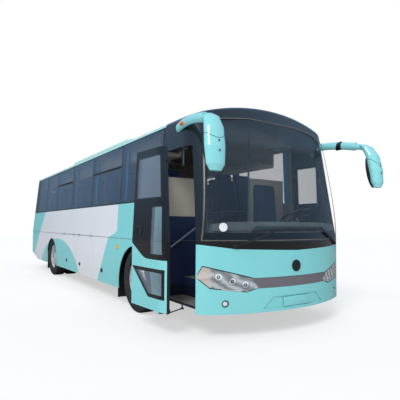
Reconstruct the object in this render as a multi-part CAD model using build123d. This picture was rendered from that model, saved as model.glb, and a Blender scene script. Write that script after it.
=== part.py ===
from build123d import *
import math
import os

os.makedirs("parts", exist_ok=True)

# Sizes are in millimetres. The bus faces -Y, its passenger door is on the -X side and z = 0 is the ground.
# Places along the bus are given as s, the distance behind the foremost point of the body on its centre line.

# Overall sizes
body_length = 9760.0
half_width = 1275.0
skirt_z = 290.0
knee_z = 1105.0
roof_z = 2845.0
mirror_reach = 310.0
front_y = -(body_length - mirror_reach) / 2

# Shape of the body: bowed ends, round corners, leaning sides and ends, and a rolled roof edge
bow_r = 2500.0
front_corner_r = 340.0
top_bow_r = 8000.0
top_corner_r = 300.0
rear_bow_r = 6000.0
rear_corner_r = 220.0
side_lean = 0.047
front_rake = 0.258
rear_lean = 0.26
roof_edge_r = 60.0
crown_r = 3500.0
wall = 40.0
fit = 0.3
run_clear = 0.05
door_gap = 8.0
door_lean = 0.148

# Panel lines
seam_z = 1080.0
mask_z = 1010.0
screen_z = 1130.0
screen_top_z = 2650.0
window_z = 1631.0
window_top_z = 2594.0
corner_s = 400.0
dome_s = 1170.0
departure_s = 8650.0
departure_z = 520.0
glass_t = 6.0
seam_w = 6.0

# Doorway and door mechanism
doorway_rear_s = 1215.0
header_z = 2254.0
door_t = 36.0
arm_pivot_x = 1110.0
arm_pivot_s = 881.0
leaf_pivot_x = 1130.0
leaf_pivot_s = 560.0
top_arm_z = 2042.0
low_arm_z = 245.0
arm_t = 16.0
arm_swing_deg = 60.0
leaf_turn_deg = 3.3

# Running gear
front_axle_s = 1990.0
wheelbase = 5050.0
rear_axle_s = front_axle_s + wheelbase
tyre_r = 478.0
tyre_w = 276.0
rim_r = 286.0
rim_w = 210.0
wheel_z = tyre_r
front_wheel_x = 1105.0
twin_outer_x = 1105.0
twin_spacing = 315.0
kingpin_x = 985.0
arm_length = 190.0
tie_rod_z = 400.0

# Chassis rails as (near x, far x) and (low z, high z)
rail_x = (400.0, 470.0)
rail_z = (640.0, 800.0)

# Inside
floor_z = 1080.0
floor_t = 50.0
platform_z = 840.0
bay_front_s = 3770.0
bay_rear_s = 6010.0
bay_floor_z = 350.0


def y_at(s):
    return front_y + s


def block(x0, x1, s0, s1, z0, z1):
    """Box between two x, two s and two z values."""
    centre = ((x0 + x1) / 2, y_at((s0 + s1) / 2), (z0 + z1) / 2)
    return Pos(*centre) * Box(abs(x1 - x0), abs(s1 - s0), abs(z1 - z0))


def prism_x(points, x0, x1):
    """Outline of (s, z) points, pushed across the bus from x0 to x1."""
    wire = Wire.make_polygon([(x0, y_at(s), z) for s, z in points], close=True)
    return Solid.extrude(Face(wire), Vector(x1 - x0, 0, 0))


def prism_y(points, s0, s1):
    """Outline of (x, z) points, pushed along the bus from s0 to s1."""
    wire = Wire.make_polygon([(x, y_at(s0), z) for x, z in points], close=True)
    return Solid.extrude(Face(wire), Vector(0, s1 - s0, 0))


def rod(start, end, radius):
    """Round bar between two (x, s, z) points."""
    a = Vector(start[0], y_at(start[1]), start[2])
    b = Vector(end[0], y_at(end[1]), end[2])
    return Solid.make_cylinder(radius, (b - a).length, Plane(origin=a, z_dir=b - a))


def across(x0, x1, s, z, radius):
    """Round bar along X."""
    return rod((x0, s, z), (x1, s, z), radius)


def mirrored(shape):
    """The same shape on the other side of the bus."""
    return shape.mirror(Plane.YZ)


def write(node, *pieces):
    """Write the solids of one node to its own file."""
    solids = [solid for piece in pieces for solid in piece.solids()]
    export_step(Compound(children=solids), f"parts/{node}.step")
    print(node, len(solids), "solids")


# Body shape

def end_arcs(bow, radius, half, inset):
    """Tangent point, middle and side point of an end's corner arc, as (x, depth behind the end)."""
    cx = half - radius
    cs = bow - math.sqrt((bow - radius) ** 2 - cx ** 2)
    share = (bow - inset) / (bow - radius)
    tangent = (cx * share, bow - (bow - cs) * share)
    angle = math.atan2(bow - cs, cx) / 2
    middle = (cx + (radius - inset) * math.cos(angle), cs - (radius - inset) * math.sin(angle))
    return tangent, middle, (half - inset, cs)


def plan(inset, rise):
    """Outline of the body seen from above, at a height of rise over the knee line (or under it)."""
    up = max(rise, 0)
    half = half_width - side_lean * up
    share = up / (roof_z - knee_z)
    bow = bow_r + (top_bow_r - bow_r) * share
    corner = front_corner_r + (top_corner_r - front_corner_r) * share
    front = end_arcs(bow, corner, half, inset)
    rear = end_arcs(rear_bow_r, rear_corner_r, half, inset)
    front_base = front_y + front_rake * up
    rear_base = front_y + body_length - rear_lean * up
    z = knee_z + rise

    def at_front(point, side):
        return Vector(side * point[0], front_base + point[1], z)

    def at_rear(point, side):
        return Vector(side * point[0], rear_base - point[1], z)

    arc = Edge.make_three_point_arc
    line = Edge.make_line
    return Wire([
        arc(at_front(front[0], -1), at_front((0, inset), 1), at_front(front[0], 1)),
        arc(at_front(front[0], 1), at_front(front[1], 1), at_front(front[2], 1)),
        line(at_front(front[2], 1), at_rear(rear[2], 1)),
        arc(at_rear(rear[2], 1), at_rear(rear[1], 1), at_rear(rear[0], 1)),
        arc(at_rear(rear[0], 1), at_rear((0, inset), 1), at_rear(rear[0], -1)),
        arc(at_rear(rear[0], -1), at_rear(rear[1], -1), at_rear(rear[2], -1)),
        line(at_rear(rear[2], -1), at_front(front[2], -1)),
        arc(at_front(front[2], -1), at_front(front[1], -1), at_front(front[0], -1)),
    ])


def crowned(solid, inset, s0, s1):
    """The solid cut off at the arched roof, and the roof face that this gives it."""
    crown_place = Pos(0, y_at(s0), roof_z - crown_r) * Rot(-90, 0, 0)
    low_end = (Align.CENTER, Align.CENTER, Align.MIN)
    solid = (solid & crown_place * Cylinder(crown_r - inset, s1 - s0, align=low_end)).solids()[0]
    return solid, max(solid.faces(), key=lambda face: face.center().Z)


def envelope(inset):
    """Solid body of the bus, with every surface moved in by inset."""
    levels = (skirt_z - knee_z, 0, roof_z + 20 - knee_z)
    loft = Solid.make_loft([plan(inset, rise) for rise in levels], ruled=True)
    solid, roof_face = crowned(loft, inset, -1000, body_length + 1000)
    if inset < 0:
        return solid
    return solid.fillet(max(roof_edge_r - inset, 5), roof_face.edges())


def departure_wedge():
    """Space under the tail, where the skirt rises to the rear bumper."""
    tail = body_length + 100
    points = [(departure_s, skirt_z - 50), (departure_s, skirt_z), (body_length - 60, departure_z)]
    points += [(tail, departure_z), (tail, skirt_z - 50)]
    return prism_x(points, -half_width - 50, half_width + 50)


def middle(inset, s0, s1):
    """Straight middle of the body between two s values, with every surface moved in by inset."""
    wide = half_width - inset
    top_z = roof_z + 20
    narrow = wide - side_lean * (top_z - knee_z)
    half = [(wide, skirt_z), (wide, knee_z), (narrow, top_z)]
    prism = prism_y(half + [(-x, z) for x, z in reversed(half)], s0, s1)
    solid, roof_face = crowned(prism, inset, s0, s1)
    return solid.fillet(max(roof_edge_r - inset, 5), roof_face.edges().filter_by(Axis.Y))


far = half_width + 200
tall = roof_z + 200
front_end_s = 1250.0
rear_joint = 340.0
side_start_s = 620.0
front_zone = block(-far, far, -400, front_end_s, 0, tall)
tail_cut = departure_wedge()
outer = envelope(0) & front_zone
inner = envelope(wall) & front_zone
behind_glass = envelope(glass_t + fit) & front_zone
inner_glass = envelope(glass_t) & front_zone
shell = outer - inner
mid_outer = middle(0, side_start_s, body_length)
mid_inner = middle(wall, side_start_s - 50, body_length + 50)
mid_behind_glass = middle(glass_t + fit, side_start_s - 50, body_length + 50)
mid_inner_glass = middle(glass_t, side_start_s - 50, body_length + 50)
mid_shell = mid_outer - mid_inner - tail_cut
lining = middle(wall + fit, side_start_s, body_length)


def layer(x0, x1, s0, s1, z0, z1):
    """Piece of the front of the shell inside a box."""
    return shell & block(x0, x1, s0, s1, z0, z1)


def mid_layer(x0, x1, s0, s1, z0, z1):
    """Piece of the straight middle of the shell inside a box."""
    return mid_shell & block(x0, x1, s0, s1, z0, z1)


def deck(inset, z0, z1):
    """Flat slab with the body's outline under the knee line."""
    face = Face(plan(inset, min(z0, knee_z) - knee_z))
    return Solid.extrude(face, Vector(0, 0, z1 - z0))


def rear_line(z, set_back):
    """s of the leaning rear panel joint at height z, set_back in front of the rear end."""
    return body_length - set_back - rear_lean * max(z - knee_z, 0)


behind_joint = prism_x([(rear_line(0, rear_joint), 0), (rear_line(0, rear_joint), knee_z),
                        (rear_line(tall, rear_joint), tall), (body_length + 300, tall),
                        (body_length + 300, 0)], -far, far)


def door_front(z, gap):
    """s of the doorway's front edge at height z, moved back by gap."""
    return corner_s + gap + door_lean * max(z - knee_z, 0)


def doorway(front_gap, rear_gap, z0, z1):
    """Space of the doorway between two heights, narrowed by a gap at each side."""
    front = [(door_front(z, front_gap), z) for z in (z0, knee_z, z1)]
    rear = [(doorway_rear_s - rear_gap, z1), (doorway_rear_s - rear_gap, z0)]
    return prism_x(front + rear, -far, 0)


# Windscreen, black surround and front panels

def mirror_outline(points):
    """Outline on both sides of the centre line, from its half on the +X side, top to bottom."""
    return points + [(-x, z) for x, z in reversed(points)]


screen_outline = mirror_outline([(420, screen_top_z), (850, screen_top_z - 55), (1020, screen_top_z - 155),
                                 (1095, screen_top_z - 330), (1190, screen_z)])
screen_cut_depth = 900.0
windscreen = (outer - inner_glass) & prism_y(screen_outline, -100, screen_cut_depth)
screen_hole = mirror_outline([(415, screen_top_z - 45), (830, screen_top_z - 100), (980, screen_top_z - 188),
                              (1045, screen_top_z - 340), (1135, screen_z + 60)])
screen_seat = (outer - behind_glass) & prism_y(screen_outline, -100, screen_cut_depth)
screen_opening = prism_y(screen_hole, -100, screen_cut_depth)

mask_line = [(half_width + 20, mask_z + 75), (850, mask_z + 15), (0, mask_z - 10), (-850, mask_z + 15),
             (-half_width - 20, mask_z + 75)]
mask_prism = prism_y(mask_line + [(-far, tall), (far, tall)], -100, dome_s)
front_zones = block(-far, 0, -100, corner_s - door_gap, 0, tall) + block(0, far, -100, side_start_s, 0, tall)

# Driver's window on the left, between the front pillar and the first side window
driver_window_s = (640.0, 1110.0)
driver_window_z = (1330.0, header_z)
driver_seat_cut = (outer - behind_glass) & block(0, far, driver_window_s[0], driver_window_s[1],
                                                 driver_window_z[0], driver_window_z[1])
driver_hole = block(0, far, driver_window_s[0] + 40, driver_window_s[1] - 40,
                    driver_window_z[0] + 40, driver_window_z[1] - 40)
driver_glass = (outer - inner_glass) & block(0, far, driver_window_s[0] + fit, driver_window_s[1] - fit,
                                             driver_window_z[0] + fit, driver_window_z[1] - fit)

front_surround = shell & mask_prism
front_surround -= screen_seat
front_surround -= screen_opening
front_surround -= doorway(-door_gap, 0, 0, header_z)
front_surround -= block(0, far, side_start_s, dome_s, 0, driver_window_z[0])
front_surround -= driver_seat_cut
front_surround -= driver_hole

# Lamp outlines on the front, as (x, z) on the +X side
lamp_outline = [(569, 577), (653, 687), (1182, 825), (1230, 700), (1120, 590), (718, 541)]
lamp_depth = 110.0
lamp_space = outer - Pos(0, lamp_depth, 0) * outer


def both_sides(shape):
    return shape + mirrored(shape)


lamp_prism = prism_y(lamp_outline, -100, corner_s - 20)
headlamp = lamp_space & lamp_prism
pocket_outline = [(555, 574), (645, 697), (1190, 838), (1245, 700), (1126, 580), (716, 530)]
lamp_pocket = prism_y(pocket_outline, -100, corner_s - 20)
strip_prism = prism_y([(-560, 569 + fit), (-647, 691 - fit), (647, 691 - fit), (560, 569 + fit)], -100, 200)
strip_pocket = prism_y([(-655, 569), (-655, 691), (655, 691), (655, 569)], -100, 200)
grille_strip = (envelope(6) - envelope(30)) & strip_prism
front_panel_low = 640.0
front_all = (shell & front_zones & block(-far, far, -100, side_start_s, skirt_z, tall)) - mask_prism
front_all -= lamp_pocket
front_all -= mirrored(lamp_pocket)
front_all -= strip_pocket
panel_line = [(-far, 850), (-1185, 835), (-650, 640), (650, 640), (1185, 835), (far, 850)]
panel_zone = prism_y(panel_line + [(far, tall), (-far, tall)], -100, side_start_s)
front_panel = front_all & panel_zone
front_bumper = front_all - panel_zone
recess = (outer - envelope(10)) & prism_y([(-515, 330), (-375, 462), (375, 462), (515, 330)], -100, 300)
front_bumper -= recess
fog_x, fog_z, fog_r = 960.0, 410.0, 42.0
fog_hole = rod((fog_x, -100, fog_z), (fog_x, 500, fog_z), fog_r + fit)
front_bumper -= fog_hole
front_bumper -= mirrored(fog_hole)
fog_lamp = (envelope(8) - envelope(30)) & rod((fog_x, -100, fog_z), (fog_x, 500, fog_z), fog_r)

write("windscreen", windscreen)
write("front_surround", front_surround)
write("front_panel", front_panel)
write("front_bumper", front_bumper)
write("headlamps", headlamp, mirrored(headlamp))
write("grille_strip", grille_strip)

# Side walls, with window panes in a flush band, arches and hatches
# Panes as (front s, rear s); arches as (s, z of the centre, radius); hatches as (front s, rear s)
pane_edges = [(1230.0, 2600.0), (2600.0, 4030.0), (4030.0, 5360.0), (5360.0, 6730.0), (6730.0, 7820.0),
              (7820.0, 8960.0)]
pane_gap = 4.0
frame_w = 48.0
arches = [(front_axle_s, 400.0, 580.0), (rear_axle_s, 430.0, 508.0)]
lip_t = 12.0
hatches = [(3780.0, 4886.0), (4894.0, 6000.0)]
hatch_gap = 6.0
hatch_z = (skirt_z + 4, seam_z - 5)


def pane_prism(pane, shrink, s_last):
    s0, s1 = pane
    z0, z1 = window_z + shrink, window_top_z - shrink
    rear0, rear1 = s1 - shrink, s1 - shrink
    if s1 == s_last:
        rear0 = rear_line(z0, rear_joint) - 330 - shrink
        rear1 = rear_line(z1, rear_joint) - 330 - shrink
    return prism_x([(s0 + shrink, z0), (rear0, z0), (rear1, z1), (s0 + shrink, z1)], 0, far)


band_rear = [(rear_line(z, rear_joint) - 330, z) for z in (window_z, window_top_z)]
band_front = [(pane_edges[0][0] - pane_gap, z) for z in (window_top_z, window_z)]
band = prism_x(band_rear + band_front, 0, far)
last_s = pane_edges[-1][1]
glass_zone = block(0, far, 1000, body_length, window_z - 10, window_top_z + 10)
glass_side = (mid_outer & glass_zone) - mid_inner_glass
panes = [glass_side & pane_prism(pane, pane_gap / 2, last_s) for pane in pane_edges]
side_wall = mid_layer(0, far, side_start_s, body_length, 0, window_top_z) - behind_joint
side_wall -= (mid_outer & band) - mid_behind_glass
for pane in pane_edges:
    side_wall -= pane_prism(pane, frame_w, last_s)
for s, z, radius in arches:
    side_wall -= across(0, far, s, z, radius)
    side_wall -= across(0, half_width - lip_t, s, z, radius + 90)
for s0, s1 in hatches:
    side_wall -= block(0, far, s0 - hatch_gap, s1 + hatch_gap, 0, hatch_z[1] + 10)
# Shallow grooves of the panel seams as (front s, rear s, low z, high z)
seam_lines = [(1400.0, 3774.0, seam_z - 3, seam_z + 3), (6006.0, 9400.0, seam_z - 3, seam_z + 3),
              (2647.0, 2653.0, 0.0, seam_z)]
for s0, s1, z0, z1 in seam_lines:
    side_wall -= block(half_width - seam_w, far, s0, s1, z0, z1)

side_wall_left = side_wall - block(0, far, 0, dome_s, driver_window_z[0], tall)
side_wall_right = mirrored(side_wall) - block(-far, 0, 0, doorway_rear_s, 0, header_z)
side_wall_right -= block(-far, 0, 0, dome_s, 0, tall)
write("side_wall_left", side_wall_left)
write("side_wall_right", side_wall_right)

roof_shell = mid_layer(-far, far, dome_s, body_length, window_top_z, tall) - behind_joint
write("roof_shell", roof_shell)

# Rear panel, window, engine lid and bumper
rear_outer = envelope(0) & behind_joint
rear_wall = rear_outer - envelope(wall) - tail_cut
rear_panel = rear_wall
rear_glass_outline = mirror_outline([(900, 2480), (940, 1850)])
rear_hole = mirror_outline([(855, 2435), (890, 1895)])
rear_zone = prism_y(rear_glass_outline, body_length - 1500, body_length + 100)
rear_panel -= (rear_outer & rear_zone) - envelope(glass_t + fit)
rear_panel -= prism_y(rear_hole, body_length - 1500, body_length + 100)
rear_window = (rear_outer & rear_zone) - envelope(glass_t)
lid_outline = mirror_outline([(640, 1085), (640, 600)])
lid_hole = mirror_outline([(646, 1091), (646, 594)])
engine_lid = rear_wall & prism_y(lid_outline, body_length - 300, body_length + 100)
rear_panel -= prism_y(lid_hole, body_length - 300, body_length + 100)
tail_outline = [(1010, 1240), (1130, 1240), (1130, 760), (1010, 760)]
tail_prism = prism_y(tail_outline, body_length - 300, body_length + 100)
tail_lamp = (rear_outer & tail_prism) - envelope(24)
tail_pocket = (rear_outer & tail_prism) - envelope(24 + fit)
rear_panel -= tail_pocket
rear_panel -= mirrored(tail_pocket)
write("rear_panel", rear_panel)
write("side_windows", driver_glass, *panes, *[mirrored(pane) for pane in panes], rear_window)

# Small outside pieces

# Roof air unit: a long hump with sloped ends, seated on the roof
air_s = (2800.0, 7200.0)
air_half = 765.0
air_z = 2935.0
air_low = 2740.0
air_outline = [(air_s[0], air_low), (air_s[0], air_low + 92), (air_s[0] + 800, air_z), (air_s[1] - 300, air_z),
               (air_s[1], air_low + 120), (air_s[1], air_low)]
air_side = prism_x(air_outline, -air_half, air_half)
air_edges = [edge for edge in air_side.edges() if edge.center().Z > air_low + 80]
air_side = air_side.fillet(55, air_edges)
write("roof_air_unit", air_side - mid_outer)


# Mirrors: (x, s, z, half across, half deep, direction across) down the arm, then the head
arm_table = [
    (1215.0, 830.0, 2508.0, 36.0, 56.0),
    (1268.0, 560.0, 2524.0, 38.0, 56.0),
    (1310.0, 300.0, 2496.0, 40.0, 56.0),
    (1336.0, 80.0, 2452.0, 44.0, 58.0),
]
head_table = [
    (1346.0, -20.0, 2462.0, 50.0, 40.0),
    (1362.0, -75.0, 2420.0, 88.0, 66.0),
    (1384.0, -148.0, 2290.0, 116.0, 74.0),
    (1398.0, -188.0, 2080.0, 122.0, 76.0),
    (1402.0, -203.0, 1905.0, 108.0, 66.0),
    (1402.0, -206.0, 1838.0, 66.0, 40.0),
]


def mirror_piece():
    """Arm and head of the right-hand mirror, on the +X side."""
    arm_faces = []
    for i, (x, s, z, half_a, half_b) in enumerate(arm_table):
        a = arm_table[max(i - 1, 0)]
        b = arm_table[min(i + 1, len(arm_table) - 1)]
        normal = Vector(b[0] - a[0], b[1] - a[1], b[2] - a[2])
        plane = Plane(origin=(x, y_at(s), z), x_dir=(0, 0, 1), z_dir=normal)
        arm_faces.append(plane * Ellipse(half_b, half_a))
    arm = loft(arm_faces)
    head_faces = []
    for x, s, z, half_a, half_b in head_table:
        plane = Plane(origin=(x, y_at(s), z), x_dir=(1, 0, 0), z_dir=(0, 0, 1))
        head_faces.append(plane * Ellipse(half_a, half_b))
    head = loft(head_faces, ruled=True)
    joint = rod((1334, 92, 2453), (1352, -40, 2424), 40)
    return arm + head + joint


mirror_right = mirror_piece() - outer
write("mirrors", mirror_right, mirrored(mirror_right))

# Wipers lie just off the glass: pivot, arm end and blade ends as (x, z) seen from the front
wiper_layer = envelope(-26) - envelope(-12)
blade_layer = envelope(-12) - envelope(-2)


def strip(a, b, half):
    """Outline of a straight strip between two (x, z) points."""
    dx, dz = b[0] - a[0], b[1] - a[1]
    length = math.hypot(dx, dz)
    nx, nz = -dz / length * half, dx / length * half
    return [(a[0] + nx, a[1] + nz), (b[0] + nx, b[1] + nz), (b[0] - nx, b[1] - nz), (a[0] - nx, a[1] - nz)]


wipers = []
for pivot, tip, blade_a, blade_b in [((-860, 1060), (-330, 1240), (-640, 1225), (-60, 1262)),
                                     ((980, 1060), (560, 1262), (-40, 1252), (640, 1272))]:
    arm = wiper_layer & prism_y(strip(pivot, tip, 11), -100, 500)
    blade = blade_layer & prism_y(strip(blade_a, blade_b, 9), -100, 500)
    boss = (envelope(-26) - outer) & rod((pivot[0], -100, pivot[1]), (pivot[0], 600, pivot[1]), 24)
    wipers += [arm + boss + blade]
write("wipers", *wipers)

# Marker lamps and a turn lamp along each side stand a little proud; fog and tail lamps are flush
proud = middle(-9, side_start_s, body_length) - mid_outer
small_lamps = []
for s in (3335.0, 4630.0, 5610.0):
    small_lamps.append(proud & block(0, far, s - 38, s + 38, 478, 504))
small_lamps.append(proud & across(0, far, 2632, 943, 36))
small_lamps += [mirrored(lamp) for lamp in small_lamps]
small_lamps += [fog_lamp, mirrored(fog_lamp), tail_lamp, mirrored(tail_lamp)]
write("small_lamps", *small_lamps)

# Inside

platform_rear_s = doorway_rear_s
well_x = 250.0
floor_slab = block(-far, far, platform_rear_s, body_length, floor_z - floor_t, floor_z)
platform = block(-well_x, far, 60, platform_rear_s, platform_z - 40, platform_z)
riser = block(-well_x, far, platform_rear_s, platform_rear_s + 20, platform_z - 40, floor_z - floor_t)
cabin_floor = floor_slab & deck(wall + fit, floor_z - floor_t, floor_z)
cabin_floor += platform & deck(wall + fit, platform_z - 40, platform_z)
cabin_floor += riser & block(-far, half_width - wall - fit, 0, body_length, 0, tall)
cabin_floor -= block(930, far, -100, 580, 700, platform_z + 1)
cabin_floor -= behind_joint
write("cabin_floor", cabin_floor)

# Treads and risers of the entry as (x, z), outer edge first, then back along the under side
step_t = 30.0
step_edges = [(-1195.0, 360.0), (-900.0, 360.0), (-900.0, 600.0), (-640.0, 600.0), (-640.0, platform_z),
              (-well_x - fit, platform_z)]
step_under = [(-well_x - fit, platform_z), (-640 + step_t, platform_z), (-640 + step_t, 600),
              (-900 + step_t, 600), (-900 + step_t, 360), (-1195, 360)]
step_outline = step_edges + [(x, z - step_t) for x, z in step_under]
step_s = (430.0, 1195.0)
steps = prism_y(step_outline, step_s[0], step_s[1])
steps += block(-1195, -well_x - fit, step_s[1], step_s[1] + 19, 330, floor_z)
steps -= block(-rail_x[1] - 6, -rail_x[0] + 6, 1190, 1220, 630, 810)
write("entry_steps", steps)

# Seats: side outline as (distance behind the cushion's front edge, height over the floor)
seat_outline = [(0, 360), (20, 455), (420, 430), (560, 1010), (600, 1110), (650, 1120),
                (690, 1090), (600, 640), (545, 360)]
seat_pitch = 760.0
first_row_s = 1560.0
row_count = 9
seat_x = (340.0, 1150.0)


def seat(s, x0, x1):
    """Double seat on two legs, from x0 to x1."""
    outline = [(s + ds, floor_z + dz) for ds, dz in seat_outline]
    body = prism_x(outline, x0, x1)
    ends = [edge for edge in body.edges() if abs(edge.center().X - (x0 + x1) / 2) > abs(x1 - x0) / 2 - 1
            and edge.center().Z > floor_z + 500]
    body = body.fillet(28, ends)
    middle = (x0 + x1) / 2
    body -= block(middle - 6, middle + 6, s - 50, s + 800, floor_z + 425, floor_z + 1200)
    legs = block(x0 + 120, x0 + 160, s + 150, s + 450, floor_z, floor_z + 361)
    legs += block(x1 - 160, x1 - 120, s + 150, s + 450, floor_z, floor_z + 361)
    return body + legs


seats = []
for row in range(row_count):
    s = first_row_s + row * seat_pitch
    seats.append(seat(s, seat_x[0], seat_x[1]))
    seats.append(seat(s, -seat_x[1], -seat_x[0]))

driver_x = 720.0
driver_s = 850.0
driver_outline = [(0, 330), (15, 440), (290, 425), (375, 1050), (400, 1200), (440, 1210),
                  (455, 1150), (405, 700), (365, 330)]
driver_points = [(driver_s + ds, platform_z + dz) for ds, dz in driver_outline]
driver_seat = prism_x(driver_points, driver_x - 240, driver_x + 240)
seat_foot = block(driver_x - 150, driver_x + 150, driver_s + 60, driver_s + 300, platform_z, platform_z + 335)
driver_seat += seat_foot
write("seats", *seats, driver_seat)

# Dashboard with binnacle and steering column, and the console beside the steps
dash_outline = [(70, 1085), (70, 1215), (250, 1235), (400, 1225), (520, 1150), (520, 1085)]
dash = prism_x(dash_outline, -1130, 1160)
binnacle_outline = [(380, 1150), (380, 1250), (430, 1300), (560, 1290), (600, 1200), (560, 1100)]
binnacle = prism_x(binnacle_outline, driver_x - 330, driver_x + 330)
console = block(-430, driver_x + 380, 110, 440, platform_z, 1086)
dash = (dash + binnacle + console) & envelope(52)
dash -= block(-far, -1050, corner_s - 60, 2000, 0, tall)
wheel_centre = (driver_x, 670.0, 1430.0)
column_tilt = 28.0
column_dir = Vector(0, math.sin(math.radians(column_tilt)), math.cos(math.radians(column_tilt)))
column_foot = (driver_x, wheel_centre[1] - 330 * column_dir.Y, wheel_centre[2] - 330 * column_dir.Z)
column_top = (driver_x, wheel_centre[1] - 26.5 * column_dir.Y, wheel_centre[2] - 26.5 * column_dir.Z)
column = rod(column_foot, column_top, 24)
dash += column
write("dashboard", dash)

wheel_origin = (wheel_centre[0], y_at(wheel_centre[1]), wheel_centre[2])
steering_plane = Plane(origin=wheel_origin, z_dir=column_dir, x_dir=(1, 0, 0))
steering_wheel = steering_plane * Torus(225, 15)
steering_wheel += steering_plane * Pos(0, 0, -20) * Cylinder(45, 12)
for angle in (0, 120, 240):
    spoke = steering_plane * Rot(0, 0, angle) * Pos(0, 118, -8) * Box(26, 205, 12)
    steering_wheel += spoke
steering_wheel += steering_plane * Pos(0, 0, -12) * Cylinder(40, 20)
write("steering_wheel", steering_wheel)

# Partitions behind the door and behind the driver, and rails at the steps
partition_t = 25.0
partition_s = 1345.0
partition_right = block(-1160, -470, partition_s, partition_s + partition_t, floor_z, 1960) & lining
partition_left = block(420, 1160, partition_s, partition_s + partition_t, floor_z, 2050) & lining
write("partitions", partition_right, partition_left)

rail_r = 15.0
rail_top = roof_z - crown_r + math.sqrt((crown_r - wall) ** 2 - 455 ** 2) - fit
rails = []
for x, s in ((-440.0, partition_s), (390.0, partition_s)):
    rails.append(rod((x, s, floor_z), (x, s, rail_top), rail_r))
step_rail = rod((-600, 1170, platform_z + 500), (-1120, 1170, 1000), rail_r)
step_rail += rod((-600, 1170, platform_z + 500), (-600, partition_s - fit, platform_z + 500), rail_r)
step_rail += rod((-1120, 1170, 1000), (-1120, step_s[1] - fit, 1000), rail_r)
rails.append(step_rail)
write("cabin_rails", *rails)

# Luggage racks hang from the roof, with room for the curtains behind them
rack_s = (1500.0, 8700.0)
rack_outline = [(760, 2330), (775, 2290), (1085, 2290), (1100, 2330), (1100, 2900), (1080, 2900),
                (1080, 2345), (800, 2330), (800, 2370), (770, 2370)]
rack = prism_y(rack_outline, rack_s[0], rack_s[1]) & lining
write("luggage_racks", rack, mirrored(rack))

# Curtains hang against the lining at the pane joints
curtain_places = [(1235.0, 1330.0), (2520.0, 2690.0), (3950.0, 4110.0), (5280.0, 5440.0), (6650.0, 6810.0),
                  (7740.0, 7900.0)]
curtain_layer = lining - middle(wall + fit + 28, side_start_s, body_length)
curtains = []
for s0, s1 in curtain_places:
    curtains.append(curtain_layer & block(0, far, s0, s1, 1650, 2570))
write("curtains", *curtains, *[mirrored(curtain) for curtain in curtains])

# Below the floor

bay_x = 1220.0
bay = block(-bay_x, bay_x, bay_front_s, bay_rear_s, bay_floor_z - 20, bay_floor_z)
bay += block(-bay_x, bay_x, bay_front_s - 20, bay_front_s, bay_floor_z - 20, floor_z - floor_t)
bay += block(-bay_x, bay_x, bay_rear_s, bay_rear_s + 20, bay_floor_z - 20, floor_z - floor_t)
for x0, x1 in ((rail_x[0] - 5, rail_x[1] + 5), (-rail_x[1] - 5, -rail_x[0] + 5)):
    bay -= block(x0, x1, bay_front_s - 30, bay_rear_s + 30, 950, floor_z)
write("luggage_bay", bay)

tank_s = (2850.0, 3650.0)
tank = block(-1100, 1100, tank_s[0], tank_s[1], 345, rail_z[0])
tank = tank.fillet(60, [edge for edge in tank.edges().filter_by(Axis.X)])
write("fuel_tank", tank)

flap_s = (2690.0, 7640.0)
# Two ladder frames of channel rails, in front of the luggage bay and behind it, under one pair of floor bearers
ladders = []
for s0, s1 in ((300.0, bay_front_s - 20), (bay_rear_s + 20, 9480.0)):
    ladder = None
    for side in (-1, 1):
        x0, x1 = side * rail_x[0], side * rail_x[1]
        rail = block(x0, x1, s0, s1, rail_z[0], rail_z[1])
        rail -= block(x0, x1 - side * 8, s0 - 1, s1 + 1, rail_z[0] + 8, rail_z[1] - 8)
        ladder = rail if ladder is None else ladder + rail
    ladders.append(ladder)
bearer_z = 960.0
bearer_s = (bay_front_s - 200, bay_rear_s + 200)
bearers = []
for side in (-1, 1):
    bearers.append(block(side * rail_x[0], side * rail_x[1], *bearer_s, bearer_z, floor_z - floor_t))
write("floor_bearers", *bearers)
cross_places = [(330.0, 400.0), (1480.0, 1540.0), (2700.0, 2760.0), (6100.0, 6160.0), (7900.0, 7960.0)]
for s0, s1 in cross_places:
    behind = int(s0 > bay_rear_s)
    ladders[behind] += block(-rail_x[1], rail_x[1], s0, s1, rail_z[0] + 20, rail_z[1])
post_places = [1500.0, 2720.0, 3600.0, 6150.0, 7920.0, 9440.0]
posts = []
for side in (-1, 1):
    x0, x1 = side * rail_x[0], side * rail_x[1]
    for s in post_places:
        top = bearer_z if bearer_s[0] <= s <= bearer_s[1] else floor_z - floor_t
        posts.append(block(x0, x1, s, s + 40, rail_z[1], top))
write("floor_posts", *posts)
# Tow brackets bolted under the rails' ends, each with a blind bore from below for a towing pin
tow_bore_r = 18.0
tow_bore_deep = 70.0
tow_tall = 110.0
tow_half = 50.0
tow_brackets = []
for s in (360.0, 9400.0):
    for side in (-1, 1):
        low_z = rail_z[0] - tow_tall
        middle_x = side * (rail_x[0] + rail_x[1]) / 2
        tow = block(side * rail_x[0], side * rail_x[1], s - tow_half, s + tow_half, low_z, rail_z[0])
        foot_edges = [edge for edge in tow.edges().filter_by(Axis.X) if edge.center().Z < low_z + 1]
        tow = tow.chamfer(12, None, foot_edges)
        tow_brackets.append(tow - rod((middle_x, s, low_z - 5), (middle_x, s, low_z + tow_bore_deep), tow_bore_r))
write("tow_brackets", *tow_brackets)
spring_s = [front_axle_s, rear_axle_s - 330, rear_axle_s + 330]
spring_x = [590.0, 560.0, 560.0]
for s, x in zip(spring_s, spring_x):
    for side in (-1, 1):
        behind = int(s > bay_rear_s)
        ladders[behind] += block(side * rail_x[0], side * (x + 70), s - 70, s + 70, rail_z[1], rail_z[1] + 14)
write("chassis_frame", *ladders)

# Air springs: turned bellows between an axle seat and the frame's bracket


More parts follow.
